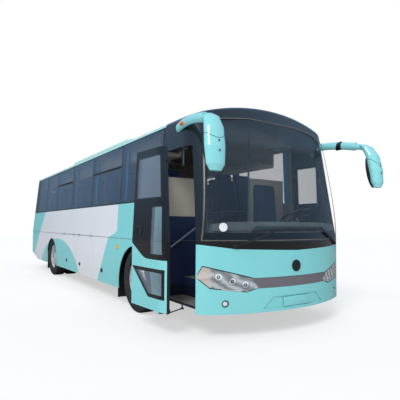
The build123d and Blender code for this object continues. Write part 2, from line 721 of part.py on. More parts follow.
def bellows(x, s, z0, z1):
    """Rolling-lobe air spring as one turned solid."""
    r = 82.0
    middle = (z0 + z1) / 2
    points = [(0, z0), (r - 25, z0), (r - 25, z0 + 25), (r, z0 + 45), (r, middle - 10), (r - 14, middle),
              (r, middle + 10), (r, z1 - 25), (r - 20, z1), (0, z1)]
    face = Face(Wire.make_polygon([(x + px, y_at(s), pz) for px, pz in points], close=True))
    return Solid.revolve(face, 360, Axis((x, y_at(s), 0), (0, 0, 1)))


springs = []
for s, x, z0 in zip(spring_s, spring_x, (532.0, 430.0, 430.0)):
    for side in (-1, 1):
        springs.append(bellows(side * x, s, z0, rail_z[1]))
write("air_springs", *springs)

# Front axle: dropped beam with a boss for each kingpin
pin_r = 22.0
boss_r = 42.0
boss_z = (wheel_z - 55, wheel_z + 55)
beam_half = [(0, 380), (760, 380), (920, 430), (kingpin_x, 430), (kingpin_x, 515), (900, 515),
             (740, 470), (0, 470)]
beam = prism_y(beam_half, front_axle_s - 40, front_axle_s + 40)
beam += mirrored(beam)
for side in (-1, 1):
    pin_at = (side * kingpin_x, front_axle_s)
    beam += rod((*pin_at, boss_z[0]), (*pin_at, boss_z[1]), boss_r)
    beam -= rod((*pin_at, boss_z[0] - 5), (*pin_at, boss_z[1] + 5), pin_r + run_clear)
    beam += block(side * 510, side * 670, front_axle_s - 80, front_axle_s + 80, 460, 532)
write("front_axle", beam)

spindle_r = 38.0
spindle_end = front_wheel_x + 60


def knuckle(side):
    """Fork, kingpin, spindle and steering arm of one front wheel."""
    x = side * kingpin_x
    s = front_axle_s
    ear = 36.0
    gap = 0.5
    fork = block(x - side * 40, x + side * 82, s - 45, s + 45, boss_z[1] + gap, boss_z[1] + gap + ear)
    fork += block(x - side * 40, x + side * 82, s - 45, s + 45, boss_z[0] - gap - ear, boss_z[0] - gap)
    fork += block(x + side * 56, x + side * 82, s - 45, s + 45, boss_z[0] - gap - ear, boss_z[1] + gap + ear)
    fork += rod((x, s, boss_z[0] - gap - ear), (x, s, boss_z[1] + gap + ear), pin_r)
    fork += across(x + side * 80, side * spindle_end, s, wheel_z, spindle_r)
    arm_z = (boss_z[0] - gap - ear, boss_z[0] - gap - ear + 24)
    fork += block(x - side * 24, x + side * 24, s + 40, s + arm_length + 22, arm_z[0], arm_z[1])
    fork += rod((x, s + arm_length, arm_z[0] - 30), (x, s + arm_length, arm_z[0] + 5), 9)
    return fork


write("knuckle_left", knuckle(1))
write("knuckle_right", knuckle(-1))

rod_z = boss_z[0] - 36.5 - 18
rod_end_r = 20.0
tie = across(-kingpin_x + 15, kingpin_x - 15, front_axle_s + arm_length, rod_z, 12)
for side, clear in ((1, run_clear), (-1, 0.3)):
    centre = (side * kingpin_x, front_axle_s + arm_length)
    tie += rod((*centre, rod_z - 11), (*centre, rod_z + 11), rod_end_r)
    tie -= rod((*centre, rod_z - 15), (*centre, rod_z + 15), 9 + clear)
write("tie_rod", tie)

# Rear axle: tube, round differential housing, spring seats and pinion nose
axle_tube_r = 70.0
rear_spindle_end = twin_outer_x + 60
rear_hub_x = 905.0
axle = across(-rear_hub_x + 5, rear_hub_x - 5, rear_axle_s, wheel_z, axle_tube_r)
axle += Pos(0, y_at(rear_axle_s), wheel_z) * Sphere(185)
axle += rod((0, rear_axle_s, wheel_z), (0, 8040, wheel_z + 70), 55)
for side in (-1, 1):
    axle += across(side * (rear_hub_x - 10), side * rear_spindle_end, rear_axle_s, wheel_z, spindle_r)
    axle += block(side * 490, side * 630, rear_axle_s - 420, rear_axle_s + 420, 390, 430)
write("rear_axle", axle)

engine_block = block(fit - rail_x[0], rail_x[0] - fit, 8060, 9300, 430, 1000)
write("engine_block", engine_block)

# Mud flaps hang behind the wheels from plates under the floor
flaps = []
for s, x0 in ((flap_s[0], 900.0), (flap_s[1], 640.0)):
    flap = block(x0, 1225, s, s + 10, 120, floor_z - floor_t)
    flap += block(x0, 1215, s, s + 10, 120, 400)
    flaps.append(flap)
write("mud_flaps", *flaps, *[mirrored(flap) for flap in flaps])

# Wheels: tyre and rim turned about the X axis

def turned(points, side, s, z):
    """Outline of (x, radius) points turned about a wheel's axle line, on one side."""
    face = Face(Wire.make_polygon([(side * x, y_at(s), z + r) for x, r in points], close=True))
    return Solid.revolve(face, 360, Axis((0, y_at(s), z), (1, 0, 0)))


def tyre(centre_x, side, s):
    half = tyre_w / 2
    ends = [(rim_w / 2, rim_r), (half, rim_r + 90), (half - 22, tyre_r - 18), (half - 48, tyre_r)]
    points = [(centre_x - dx, r) for dx, r in ends] + [(centre_x + dx, r) for dx, r in reversed(ends)]
    return turned(points, side, s, wheel_z)


def barrel(centre_x, side, s):
    half = rim_w / 2
    ends = [(half, rim_r), (half, rim_r - 14), (half - 30, rim_r - 22)]
    points = [(centre_x - dx, r) for dx, r in ends] + [(centre_x + dx, r) for dx, r in reversed(ends)]
    return turned(points, side, s, wheel_z)


def hand_holes(wheel, side, s, x, count, place_r, hole_r):
    for i in range(count):
        angle = 2 * math.pi * i / count
        ds, dz = place_r * math.cos(angle), place_r * math.sin(angle)
        wheel -= across(side * (x - 90), side * (x + 90), s + ds, wheel_z + dz, hole_r)
    return wheel


disc_x = front_wheel_x + 70
hub_r = 92.0


def front_rim(side):
    s = front_axle_s
    rim = barrel(front_wheel_x, side, s)
    disc = [(front_wheel_x + 20, rim_r - 10), (disc_x, 235), (disc_x, 60), (disc_x - 14, 60),
            (disc_x - 14, 228), (front_wheel_x + 2, rim_r - 18), (front_wheel_x + 2, rim_r - 10)]
    rim += turned(disc, side, s, wheel_z)
    bore = spindle_r + run_clear
    drum_x = kingpin_x + 90
    hub = [(drum_x, bore), (drum_x, 200), (drum_x + 80, 200), (drum_x + 84, 110), (disc_x + 6, 110),
           (disc_x + 10, hub_r), (disc_x + 40, 70), (disc_x + 44, 0), (spindle_end + 4, 0),
           (spindle_end + 4, bore)]
    rim = hand_holes(rim, side, s, disc_x - 20, 10, 200, 20)
    return rim + turned(hub, side, s, wheel_z)


def rear_rim(side):
    s = rear_axle_s
    inner_x = twin_outer_x - twin_spacing
    rim = barrel(twin_outer_x, side, s) + barrel(inner_x, side, s)
    face_x = twin_outer_x - twin_spacing / 2
    reach = twin_spacing / 2
    ends = [(reach - 75, rim_r - 8), (reach - 60, rim_r - 8), (reach - 60, rim_r - 24), (14, 232), (14, 60)]
    disc = [(face_x, 246)] + [(face_x + dx, r) for dx, r in ends]
    disc += [(face_x - dx, r) for dx, r in reversed(ends)]
    rim += turned(disc, side, s, wheel_z)
    rim = hand_holes(rim, side, s, face_x, 10, 200, 20)
    bore = spindle_r + run_clear
    hub = [(rear_hub_x + 2, bore), (rear_hub_x + 2, 110), (face_x + 30, 110), (face_x + 40, hub_r),
           (rear_spindle_end + 10, 80), (rear_spindle_end + 14, 0), (rear_spindle_end + 4, 0),
           (rear_spindle_end + 4, bore)]
    return rim + turned(hub, side, s, wheel_z)


for name, side in (("left", 1), ("right", -1)):
    write(f"front_tyre_{name}", tyre(front_wheel_x, side, front_axle_s))
    write(f"front_rim_{name}", front_rim(side))
    twins = [tyre(x, side, rear_axle_s) for x in (twin_outer_x, twin_outer_x - twin_spacing)]
    write(f"rear_tyres_{name}", *twins)
    write(f"rear_rims_{name}", rear_rim(side))

# Luggage hatches, hung on pins along the seam

hinge_x = half_width + 9
hinge_z = seam_z
pin = 5.0
knuckle_r = 9.0


def hatch_piece(s0, s1):
    """Hatch of the left side with its hinge eyes."""
    leaf = mid_layer(0, far, s0, s1, hatch_z[0], hatch_z[1])
    for s in (s0 + 180, s1 - 180):
        eye = rod((hinge_x, s - 30, hinge_z), (hinge_x, s + 30, hinge_z), knuckle_r)
        eye += block(half_width - 4, hinge_x, s - 30, s + 30, hinge_z - knuckle_r - 14, hinge_z - 5)
        eye -= rod((hinge_x, s - 40, hinge_z), (hinge_x, s + 40, hinge_z), pin + run_clear)
        leaf += eye
    return leaf


def hatch_pins(s0, s1):
    """Fixed pins and lugs that one hatch turns on."""
    pieces = []
    for s in (s0 + 180, s1 - 180):
        lug = rod((hinge_x, s - 52, hinge_z), (hinge_x, s + 52, hinge_z), pin)
        for end in (s - 46, s + 46):
            lug += rod((hinge_x, end - 10, hinge_z), (hinge_x, end + 10, hinge_z), knuckle_r)
            lug += block(half_width, hinge_x, end - 10, end + 10, hinge_z + 5, hinge_z + 20)
        pieces.append(lug)
    return pieces


hatch_lugs = []
for i, (s0, s1) in enumerate(hatches):
    piece = hatch_piece(s0, s1)
    write(f"hatch_left_{i + 1}", piece)
    write(f"hatch_right_{i + 1}", mirrored(piece))
    for lug in hatch_pins(s0, s1):
        hatch_lugs += [lug, mirrored(lug)]

# Engine lid, hung on pins at its top edge

lid_s = body_length + 6
lid_z = 1088.0
lid_hinge_x = 350.0
for x in (-lid_hinge_x, lid_hinge_x):
    eye = across(x - 30, x + 30, lid_s, lid_z, knuckle_r)
    eye += block(x - 30, x + 30, body_length - 25, lid_s, lid_z - 23, lid_z - 5)
    eye -= across(x - 40, x + 40, lid_s, lid_z, pin + run_clear)
    engine_lid += eye
    lug = across(x - 52, x + 52, lid_s, lid_z, pin)
    for end in (x - 46, x + 46):
        ear = across(end - 10, end + 10, lid_s, lid_z, knuckle_r)
        ear += block(end - 10, end + 10, body_length - 25, lid_s, lid_z + 5, lid_z + 20)
        lug += ear - rear_outer
    hatch_lugs.append(lug)
write("engine_lid", engine_lid)

# Passenger door, modelled shut and then turned to the part-open place it rests at

door_shell = (outer - envelope(door_t)) & doorway(door_gap, 12, skirt_z, header_z - 10)
# Door windows as outlines of (s, z)
window_outlines = [
    [(550, 1631), (1120, 1631), (1120, 2140), (620, 2140)],
    [(470, 950), (720, 950), (720, 1510), (520, 1510)],
    [(470, 470), (760, 470), (1080, 740), (470, 740)],
]
door_panes = []
for outline in window_outlines:
    cs = sum(point[0] for point in outline) / len(outline)
    cz = sum(point[1] for point in outline) / len(outline)
    rim_points = [(s + math.copysign(26, s - cs), z + math.copysign(26, z - cz)) for s, z in outline]
    seat_prism = prism_x(rim_points, -far, 0)
    door_shell -= prism_x(outline, -far, 0)
    door_shell -= (outer - behind_glass) & seat_prism
    door_panes.append((outer - inner_glass) & seat_prism)
pivot = (-leaf_pivot_x, leaf_pivot_s)
pin_reach = arm_t + 6
bracket_z = low_arm_z + arm_t + 2
bracket_s = (leaf_pivot_s - 20, leaf_pivot_s + 25)
bracket_low = block(-1259, 25 - leaf_pivot_x, *bracket_s, bracket_z, skirt_z + 4)
bracket_low += rod((*pivot, bracket_z + 2 - pin_reach), (*pivot, bracket_z + 1), 10)
bracket_z = top_arm_z + arm_t + 2
bracket_top = block(-1175, 25 - leaf_pivot_x, *bracket_s, bracket_z, bracket_z + 12)
bracket_top += rod((*pivot, bracket_z + 2 - pin_reach), (*pivot, bracket_z + 1), 10)
door_shell += bracket_low + bracket_top

swing = math.radians(arm_swing_deg)
dx0, ds0 = -leaf_pivot_x + arm_pivot_x, leaf_pivot_s - arm_pivot_s
open_x = -arm_pivot_x + dx0 * math.cos(swing) + ds0 * math.sin(swing)
open_s = arm_pivot_s - dx0 * math.sin(swing) + ds0 * math.cos(swing)


def opened(shape):
    """Turn and carry a piece of the shut door to its part-open place."""
    place = Pos(open_x, y_at(open_s), 0) * Rot(0, 0, leaf_turn_deg)
    return place * (Pos(leaf_pivot_x, -y_at(leaf_pivot_s), 0) * shape)


write("passenger_door", opened(door_shell))
write("door_windows", *[opened(pane) for pane in door_panes])

arm_pieces = []
for z0 in (low_arm_z, top_arm_z):
    ends = [(-arm_pivot_x, arm_pivot_s), (open_x, open_s)]
    bar = rod((*ends[0], z0 + arm_t / 2), (*ends[1], z0 + arm_t / 2), arm_t / 2 - 1)
    for end in ends:
        bar += rod((*end, z0), (*end, z0 + arm_t), 22)
        bar -= rod((*end, z0 - 5), (*end, z0 + arm_t + 5), 10 + run_clear)
    arm_pieces.append(bar)
write("door_arms", *arm_pieces)
arm_pin = rod((*ends[0], low_arm_z - 4), (*ends[0], 330 - fit), 10)
arm_pin_top = rod((*ends[0], top_arm_z - 4), (*ends[0], header_z + 10), 10)
plate_s = (arm_pivot_s - 60, arm_pivot_s + 60)
arm_pin_top += block(-half_width, 25 - arm_pivot_x, *plate_s, header_z + 6, header_z + 18) & lining
write("hinge_pins", *hatch_lugs, arm_pin, arm_pin_top)
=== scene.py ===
import math

import bpy
from mathutils import Matrix, Vector


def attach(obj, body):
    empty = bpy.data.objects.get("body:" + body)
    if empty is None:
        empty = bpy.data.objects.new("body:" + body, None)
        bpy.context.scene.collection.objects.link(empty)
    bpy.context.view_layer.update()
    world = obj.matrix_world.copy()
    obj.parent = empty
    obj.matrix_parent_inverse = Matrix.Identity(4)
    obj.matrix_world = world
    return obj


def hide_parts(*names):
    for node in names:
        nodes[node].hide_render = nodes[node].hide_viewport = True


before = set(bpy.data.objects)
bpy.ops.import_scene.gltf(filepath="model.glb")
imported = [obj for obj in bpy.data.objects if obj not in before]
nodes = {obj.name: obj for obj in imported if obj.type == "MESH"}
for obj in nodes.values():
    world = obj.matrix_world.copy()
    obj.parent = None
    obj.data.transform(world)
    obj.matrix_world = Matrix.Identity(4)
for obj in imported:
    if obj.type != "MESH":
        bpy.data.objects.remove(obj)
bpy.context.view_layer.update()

# Places along the bus are given as s, the distance in metres behind the foremost point of the body.
FRONT_Y = -4.725
HALF_WIDTH = 1.275
KNEE_Z = 1.105
SIDE_LEAN = 0.047
ROOF_Z = 2.845
BOW_R = (2.5, 8.0)
CORNER_R = (0.34, 0.30)
FRONT_RAKE = 0.258
WHEEL_Z = 0.478
FRONT_AXLE_S = 1.99
REAR_AXLE_S = 7.04
DOOR_SHIFT = 0.178

# The door leaf's rest place: its shut place turned about z and moved
DOOR_TURN = Matrix.Rotation(math.radians(3.3), 3, "Z")
DOOR_MOVE = Vector((-1.397994, -3.987179, 0)) - DOOR_TURN @ Vector((-1.130, -4.165, 0))


def side_x(z):
    """x of the side wall's outer face at height z."""
    return HALF_WIDTH - SIDE_LEAN * max(z - KNEE_Z, 0)


def front_s(x, z):
    """s of the bowed and raked front face, with its rounded corners, at x and z."""
    up = max(z - KNEE_Z, 0)
    share = up / (ROOF_Z - KNEE_Z)
    bow = BOW_R[0] + (BOW_R[1] - BOW_R[0]) * share
    corner = CORNER_R[0] + (CORNER_R[1] - CORNER_R[0]) * share
    centre_x = side_x(z) - corner
    centre_s = bow - math.sqrt((bow - corner) ** 2 - centre_x ** 2)
    if abs(x) < centre_x * bow / (bow - corner):
        return FRONT_RAKE * up + bow - math.sqrt(bow ** 2 - x ** 2)
    return FRONT_RAKE * up + centre_s - math.sqrt(max(corner ** 2 - (abs(x) - centre_x) ** 2, 0))


def linear(hex_colour):
    """sRGB hex value as the linear colour that the shaders work in."""
    channels = [int(hex_colour[i:i + 2], 16) / 255 for i in (1, 3, 5)]
    return tuple(c / 12.92 if c <= 0.04045 else ((c + 0.055) / 1.055) ** 2.4 for c in channels) + (1.0,)


# Working with nodes and meshes

def add(tree, kind, inputs=(), **settings):
    """Add one shader node with its settings, values and links."""
    node = tree.nodes.new(kind)
    for key, value in settings.items():
        setattr(node, key, value)
    for key, value in dict(inputs).items():
        if isinstance(value, bpy.types.NodeSocket):
            tree.links.new(value, node.inputs[key])
        else:
            node.inputs[key].default_value = value
    return node


def calc(tree, operation, *values, **settings):
    """Output of one arithmetic node."""
    return add(tree, "ShaderNodeMath", dict(enumerate(values)), operation=operation, **settings).outputs[0]


def blend(tree, share, first, second, **settings):
    """Colour from the first to the second as share goes from 0 to 1; each is a hex value or an output."""
    first, second = (linear(c) if isinstance(c, str) else c for c in (first, second))
    mixed = add(tree, "ShaderNodeMix", {0: share, 6: first, 7: second}, data_type="RGBA", **settings)
    return mixed.outputs[2]


def stretch(tree, value, low, high, start, end):
    """Output that goes from start to end as the value goes from low to high."""
    return add(tree, "ShaderNodeMapRange", {0: value, 1: low, 2: high, 3: start, 4: end}).outputs[0]


def noise(tree, coordinates, scale, detail):
    """Soft random pattern between 0 and 1."""
    return add(tree, "ShaderNodeTexNoise", {0: coordinates, "Scale": scale, "Detail": detail}).outputs[0]


def outlook(tree):
    """x, y and z of the direction in which each face looks."""
    normal = add(tree, "ShaderNodeNewGeometry").outputs["True Normal"]
    return add(tree, "ShaderNodeSeparateXYZ", {0: normal}).outputs


def cover(tree, shader, colour):
    """Give the surface its colour."""
    tree.links.new(colour, shader.inputs["Base Color"])


def relief(tree, shader, height, strength, distance):
    """Let a pattern raise the surface by up to the distance in metres."""
    bump = add(tree, "ShaderNodeBump", {"Strength": strength, "Distance": distance, "Height": height})
    tree.links.new(bump.outputs[0], shader.inputs["Normal"])


def material(name, roughness, metallic=0.0, ior=1.5, coat=0.0):
    """New material: its tree, its main shader and the x, y and z of its object coordinates."""
    made = bpy.data.materials.new(name)
    made.use_nodes = True
    tree = made.node_tree
    shader = tree.nodes["Principled BSDF"]
    shader.inputs["Roughness"].default_value = roughness
    shader.inputs["Metallic"].default_value = metallic
    shader.inputs["IOR"].default_value = ior
    shader.inputs["Coat Weight"].default_value = coat
    shader.inputs["Coat Roughness"].default_value = 0.04
    coordinates = add(tree, "ShaderNodeTexCoord").outputs["Object"]
    place = add(tree, "ShaderNodeSeparateXYZ", {0: coordinates})
    return made, tree, shader, coordinates, place


DUST_FOOT_Z, DUST_TOP_Z = 0.25, 0.9


def weathered(tree, shader, coordinates, place, colour, dust="#8C8678", dust_most=0.22):
    """Paint film: broad tone changes, road dust low down and fine orange peel in the surface."""
    tone = stretch(tree, noise(tree, coordinates, 1.3, 3.0), 0.0, 1.0, 0.965, 1.03)
    shaded = blend(tree, 1.0, colour, tone, blend_type="MULTIPLY")
    low = stretch(tree, place.outputs[2], DUST_FOOT_Z, DUST_TOP_Z, dust_most, 0.0)
    dusty = calc(tree, "MULTIPLY", low, noise(tree, coordinates, 9.0, 5.0))
    cover(tree, shader, blend(tree, dusty, shaded, dust))
    relief(tree, shader, noise(tree, coordinates, 160.0, 1.0), 0.05, 0.0006)


def within(tree, tests):
    """1 where every one of the (value, larger or smaller, limit) tests holds."""
    held = None
    for value, sense, limit in tests:
        test = calc(tree, sense, value, limit)
        held = test if held is None else calc(tree, "MULTIPLY", held, test)
    return held


def drawn_line(tree, offset, width):
    """1 on a line of the given half width where the offset is nought."""
    return calc(tree, "LESS_THAN", calc(tree, "ABSOLUTE", offset), width)


MORE, LESS = "GREATER_THAN", "LESS_THAN"
MINT = "#7CCBCD"
WHITE = "#DADCE1"
BLACK = "#0C0B10"
LINING = "#8E897E"
SEAM_Z = 1.08
WINDOW_BAND_Z = 1.628
# The white field: its front edge bends at the seam, its rear edge rises forwards from the ground
FIELD_S, FIELD_FAST, FIELD_SLOW = 3.05, 4.0, 0.65
FIELD_FRONT_S, FIELD_ROUNDING = 2.667, 0.25
FIELD_REAR_S, FIELD_REAR_SLOPE = 9.612, -1.065
# The mint hill in front of the rear wheel: half an ellipse on the ground
HILL_S, HILL_HALF_LENGTH, HILL_HEIGHT = 6.43, 1.83, 0.95

# Two-layer coach enamel: mint ground, white swoosh and a black window band; the coat gives the sharp gloss.
side_enamel, tree, shader, coordinates, place = material("side_coach_enamel", 0.28, coat=0.6)
s = calc(tree, "ADD", place.outputs[1], -FRONT_Y)
z = place.outputs[2]
below = calc(tree, "SUBTRACT", SEAM_Z, z)
fast = calc(tree, "MULTIPLY_ADD", below, FIELD_FAST, FIELD_S)
slow = calc(tree, "MULTIPLY_ADD", below, FIELD_SLOW, FIELD_S)
field_front = calc(tree, "SMOOTH_MAX", calc(tree, "MINIMUM", fast, slow), FIELD_FRONT_S, FIELD_ROUNDING)
field_rear = calc(tree, "MULTIPLY_ADD", z, FIELD_REAR_SLOPE, FIELD_REAR_S)
along = calc(tree, "DIVIDE", calc(tree, "SUBTRACT", s, HILL_S), HILL_HALF_LENGTH)
upward = calc(tree, "DIVIDE", z, HILL_HEIGHT)
hill = add(tree, "ShaderNodeCombineXYZ", {0: along, 1: upward}).outputs[0]
hill = add(tree, "ShaderNodeVectorMath", {0: hill}, operation="LENGTH").outputs[1]
field = within(tree, [(s, MORE, field_front), (s, LESS, field_rear), (hill, MORE, 1.0)])
ground = blend(tree, field, MINT, WHITE)
ground = blend(tree, calc(tree, MORE, z, WINDOW_BAND_Z), ground, BLACK)
seam = drawn_line(tree, calc(tree, "SUBTRACT", z, SEAM_Z), 0.004)
ground = blend(tree, seam, ground, "#6E7A7C")
inward = calc(tree, "MULTIPLY", outlook(tree)[0], place.outputs[0])
ground = blend(tree, calc(tree, LESS, inward, -0.5), ground, LINING)
weathered(tree, shader, coordinates, place, ground)

# The same enamel in plain mint for the front, bumper, rear and engine lid.
mint_enamel, tree, shader, coordinates, place = material("mint_coach_enamel", 0.25, coat=0.7)
weathered(tree, shader, coordinates, place, MINT, dust_most=0.12)

# Mirror shells: mint enamel, painted lighter than the body's mint as light falling on the heads, with the
# shut line of the two-part shell, a bow that is lowest in mid head.
MIRROR_X, SHUT_LINE_Z, SHUT_LINE_BEND = 1.398, 2.165, 4.0
mirror_enamel, tree, shader, coordinates, place = material("mirror_shell_enamel", 0.22, coat=0.8)
out = calc(tree, "SUBTRACT", calc(tree, "ABSOLUTE", place.outputs[0]), MIRROR_X)
line_z = calc(tree, "MULTIPLY_ADD", calc(tree, "MULTIPLY", out, out), SHUT_LINE_BEND, SHUT_LINE_Z)
line = drawn_line(tree, calc(tree, "SUBTRACT", place.outputs[2], line_z), 0.0035)
# The lighter mint is painted light on the mirror heads; the dark line is the shell's shut line.
weathered(tree, shader, coordinates, place, blend(tree, line, "#8AD3D5", "#2C4444"), dust_most=0.0)

# Roof: a paler mint than the sides, which is painted light falling on the top, in a gloss dulled by weather;
# its under side is the cabin lining.
roof_enamel, tree, shader, coordinates, place = material("roof_enamel", 0.4, coat=0.3)
inside = calc(tree, LESS, outlook(tree)[2], -0.05)
# The paler mint is painted light on the roof's top.
weathered(tree, shader, coordinates, place, blend(tree, inside, "#A9D6CF", "#A8A397"))

# Gloss black enamel of the cap and pillars: nearly mirror-like, with a faint violet cast.
black_enamel, tree, shader, coordinates, place = material("black_gloss_enamel", 0.12, coat=1.0)
weathered(tree, shader, coordinates, place, BLACK, dust="#4A4650", dust_most=0.05)

# Door leaf: black upper part over mint, parted by an s-shaped line, with a black surround at the low window.
# The line runs level to PARTING_S and then climbs; the window's rear edge slants.
PARTING_S, PARTING_Z, PARTING_CLIMB, PARTING_ROUNDING = 0.87, 0.885, 0.56, 0.12
LOW_WINDOW_Z, LOW_WINDOW_S = (0.432, 0.778), 0.432
LOW_WINDOW_SLANT, LOW_WINDOW_REAR_S = 1.185, 0.263
door_enamel, tree, shader, coordinates, place = material("door_enamel", 0.2, coat=0.8)
s = calc(tree, "ADD", place.outputs[1], -FRONT_Y - DOOR_SHIFT)
z = place.outputs[2]
rise = calc(tree, "SMOOTH_MAX", calc(tree, "ADD", s, -PARTING_S), 0.0, PARTING_ROUNDING)
upper = calc(tree, MORE, z, calc(tree, "MULTIPLY_ADD", rise, PARTING_CLIMB, PARTING_Z))
rear_edge = calc(tree, "MULTIPLY_ADD", z, LOW_WINDOW_SLANT, LOW_WINDOW_REAR_S)
surround = within(tree, [(z, MORE, LOW_WINDOW_Z[0]), (z, LESS, LOW_WINDOW_Z[1]), (s, MORE, LOW_WINDOW_S),
                         (s, LESS, rear_edge)])
dark = calc(tree, "MAXIMUM", surround, upper)
dark = calc(tree, "MAXIMUM", dark, calc(tree, MORE, outlook(tree)[0], -0.25))
weathered(tree, shader, coordinates, place, blend(tree, dark, MINT, BLACK), dust_most=0.1)


def tinted(tree, shader, coordinates, colour, border, film):
    """Glass look: a tint colour laid on at the film share, for the side and door glass partly painted sky
    reflection; a printed opaque border, a little haze and more mirror at a grazing look.
    """
    shader.inputs["Coat Weight"].default_value = 1.0
    shader.inputs["Coat Roughness"].default_value = 0.02
    cover(tree, shader, blend(tree, border, colour, "#0B0B0E"))
    dull = stretch(tree, noise(tree, coordinates, 3.0, 3.0), 0.4, 0.8, 0.02, 0.08)
    tree.links.new(dull, shader.inputs["Roughness"])
    # Schlick's rule for glass: 4 % mirrored straight on, all of it at a grazing look
    grazing = calc(tree, "POWER", add(tree, "ShaderNodeLayerWeight").outputs["Facing"], 5.0)
    veil = calc(tree, "MULTIPLY_ADD", grazing, 0.96, film + 0.04, use_clamp=True)
    tree.links.new(calc(tree, "MAXIMUM", veil, border), shader.inputs["Alpha"])


# Toughened tinted side glass: a blue-grey colour that is body tint and painted reflection of the sky, with a
# black border printed along its head and foot.
window_glass, tree, shader, coordinates, place = material("tinted_safety_glass", 0.03, ior=1.52)
head = calc(tree, MORE, place.outputs[2], 2.575)
foot = calc(tree, LESS, place.outputs[2], 1.655)
# The blue-grey colour is body tint and painted sky reflection, laid on as a thin film.
tinted(tree, shader, coordinates, "#4A6078", calc(tree, "MAXIMUM", head, foot), 0.26)

# Door glass: a paler blue-grey that is tint and painted reflection of the sky, inside a black border printed
# round each of the three panes. Each pane has one slanting edge, which keeps the given value of s less slant
# times z.
door_glass, tree, shader, coordinates, place = material("door_safety_glass", 0.03, ior=1.52)
s = calc(tree, "ADD", place.outputs[1], -FRONT_Y - DOOR_SHIFT)
z = place.outputs[2]
clear = None
for z_low, z_high, upright, slant, edge in ((1.631, 2.14, (LESS, 1.12), 0.1375, (MORE, 0.326)),
                                            (0.95, 1.51, (LESS, 0.72), 0.0893, (MORE, 0.385)),
                                            (0.475, 0.735, (MORE, 0.475), 1.185, (LESS, 0.203))):
    leaning = calc(tree, "ADD", s, calc(tree, "MULTIPLY", z, -slant))
    pane = within(tree, [(z, MORE, z_low), (z, LESS, z_high), (s, *upright), (leaning, *edge)])
    clear = pane if clear is None else calc(tree, "MAXIMUM", clear, pane)
# The pale blue-grey is tint and painted sky reflection.
tinted(tree, shader, coordinates, "#8593A2", calc(tree, "SUBTRACT", 1.0, clear), 0.24)

# Laminated windscreen: lighter tint than the sides and a ceramic border printed along its foot and head.
screen_glass, tree, shader, coordinates, place = material("laminated_windscreen", 0.03, ior=1.52)
foot = calc(tree, LESS, place.outputs[2], 1.212)
head = stretch(tree, place.outputs[2], 2.2, 2.58, 0.0, 0.8)
tinted(tree, shader, coordinates, "#4E5E6C", calc(tree, "MAXIMUM", foot, head), 0.10)
shader.inputs["Coat Weight"].default_value = 0.5
shader.inputs["Specular Tint"].default_value = linear("#E4E6DC")

# Headlamp cluster: three metallised bowls with dark projector eyes, their light and dark rings painted
# reflections and highlights; fluted housing with painted reflection streaks; pale amber ribs outside.
LAMP_BOWLS = ((0.735, 0, 0.618), (0.885, 0, 0.660), (1.035, 0, 0.712))
BOWL_REACH = 0.1
BOWL_REFLECTION_RINGS = ((0.10, "#8E979F"), (0.17, "#2B2F35"), (0.22, "#F4F7F9"), (0.42, "#C3CAD0"), (0.50, "#5A6068"),
              (0.55, "#DDE2E6"), (0.66, "#9CA3A9"), (0.72, "#C2C8CC"))


def face_plane(tree, place):
    """Object coordinates seen from in front, with both sides of the bus folded on one."""
    out = calc(tree, "ABSOLUTE", place.outputs[0])
    return out, add(tree, "ShaderNodeCombineXYZ", {0: out, 2: place.outputs[2]}).outputs[0]


def reach_from(tree, face, centre):
    """Distance of each point from the centre."""
    return add(tree, "ShaderNodeVectorMath", {0: face, 1: centre}, operation="DISTANCE").outputs[1]


def colour_ramp(tree, value, first, last, between):
    """Colour ramp from the first to the last colour with (position, colour) stops between."""
    ramp = add(tree, "ShaderNodeValToRGB", {0: value})
    stops = ramp.color_ramp.elements
    stops[0].position, stops[0].color = 0.0, linear(first)
    stops[1].position, stops[1].color = 1.0, linear(last)
    for position, colour in between:
        stop = stops.new(position)
        stop.color = linear(colour)
    return ramp.outputs[0]


lamp_cluster, tree, shader, coordinates, place = material("metallised_lamp_cluster", 0.16, metallic=0.25,
                                                          coat=1.0)
out, face = face_plane(tree, place)
nearest = None
for bowl in LAMP_BOWLS:
    reach = reach_from(tree, face, bowl)
    nearest = reach if nearest is None else calc(tree, "MINIMUM", nearest, reach)
share = calc(tree, "MULTIPLY", nearest, 1 / BOWL_REACH)
# Rings of light and dark round each bowl centre are painted reflections and highlights of the metallised
# bowls.
bowl_reflections = colour_ramp(tree, share, "#DCE4EA", "#B4BABF", BOWL_REFLECTION_RINGS)
# Diagonal streaks that lighten and darken the housing are painted reflections.
reflection_streaks = add(tree, "ShaderNodeTexWave", {0: coordinates, "Scale": 5.0, "Distortion": 6.0, "Detail": 2.0},
             bands_direction="DIAGONAL").outputs[1]
housing = blend(tree, 1.0, bowl_reflections, stretch(tree, reflection_streaks, 0.0, 1.0, 0.45, 1.15), blend_type="MULTIPLY")
ribs = add(tree, "ShaderNodeTexWave", {0: coordinates, "Scale": 22.0}, bands_direction="Z").outputs[1]
outer_end = stretch(tree, out, 1.10, 1.13, 0.0, 0.7)
cover(tree, shader, blend(tree, outer_end, housing, blend(tree, ribs, "#C9A184", "#E6E4DE")))
flutes = add(tree, "ShaderNodeTexVoronoi", {0: coordinates, "Scale": 26.0}).outputs["Distance"]
relief(tree, shader, flutes, 0.25, 0.006)


def plain(name, colour, roughness, metallic=0.0, grain=900.0, depth=0.0003, second=None, blotch=6.0,
          coat=0.0, ior=1.5):
    """Finish with one main colour: slow colour drift into a second tone and a fine surface grain."""
    made, tree, shader, coordinates, place = material(name, roughness, metallic=metallic, coat=coat, ior=ior)
    share = stretch(tree, noise(tree, coordinates, blotch, 4.0), 0.35, 0.7, 0.0, 1.0)
    cover(tree, shader, blend(tree, share, colour, second or colour))
    relief(tree, shader, noise(tree, coordinates, grain, 2.0), 0.4, depth)
    return made


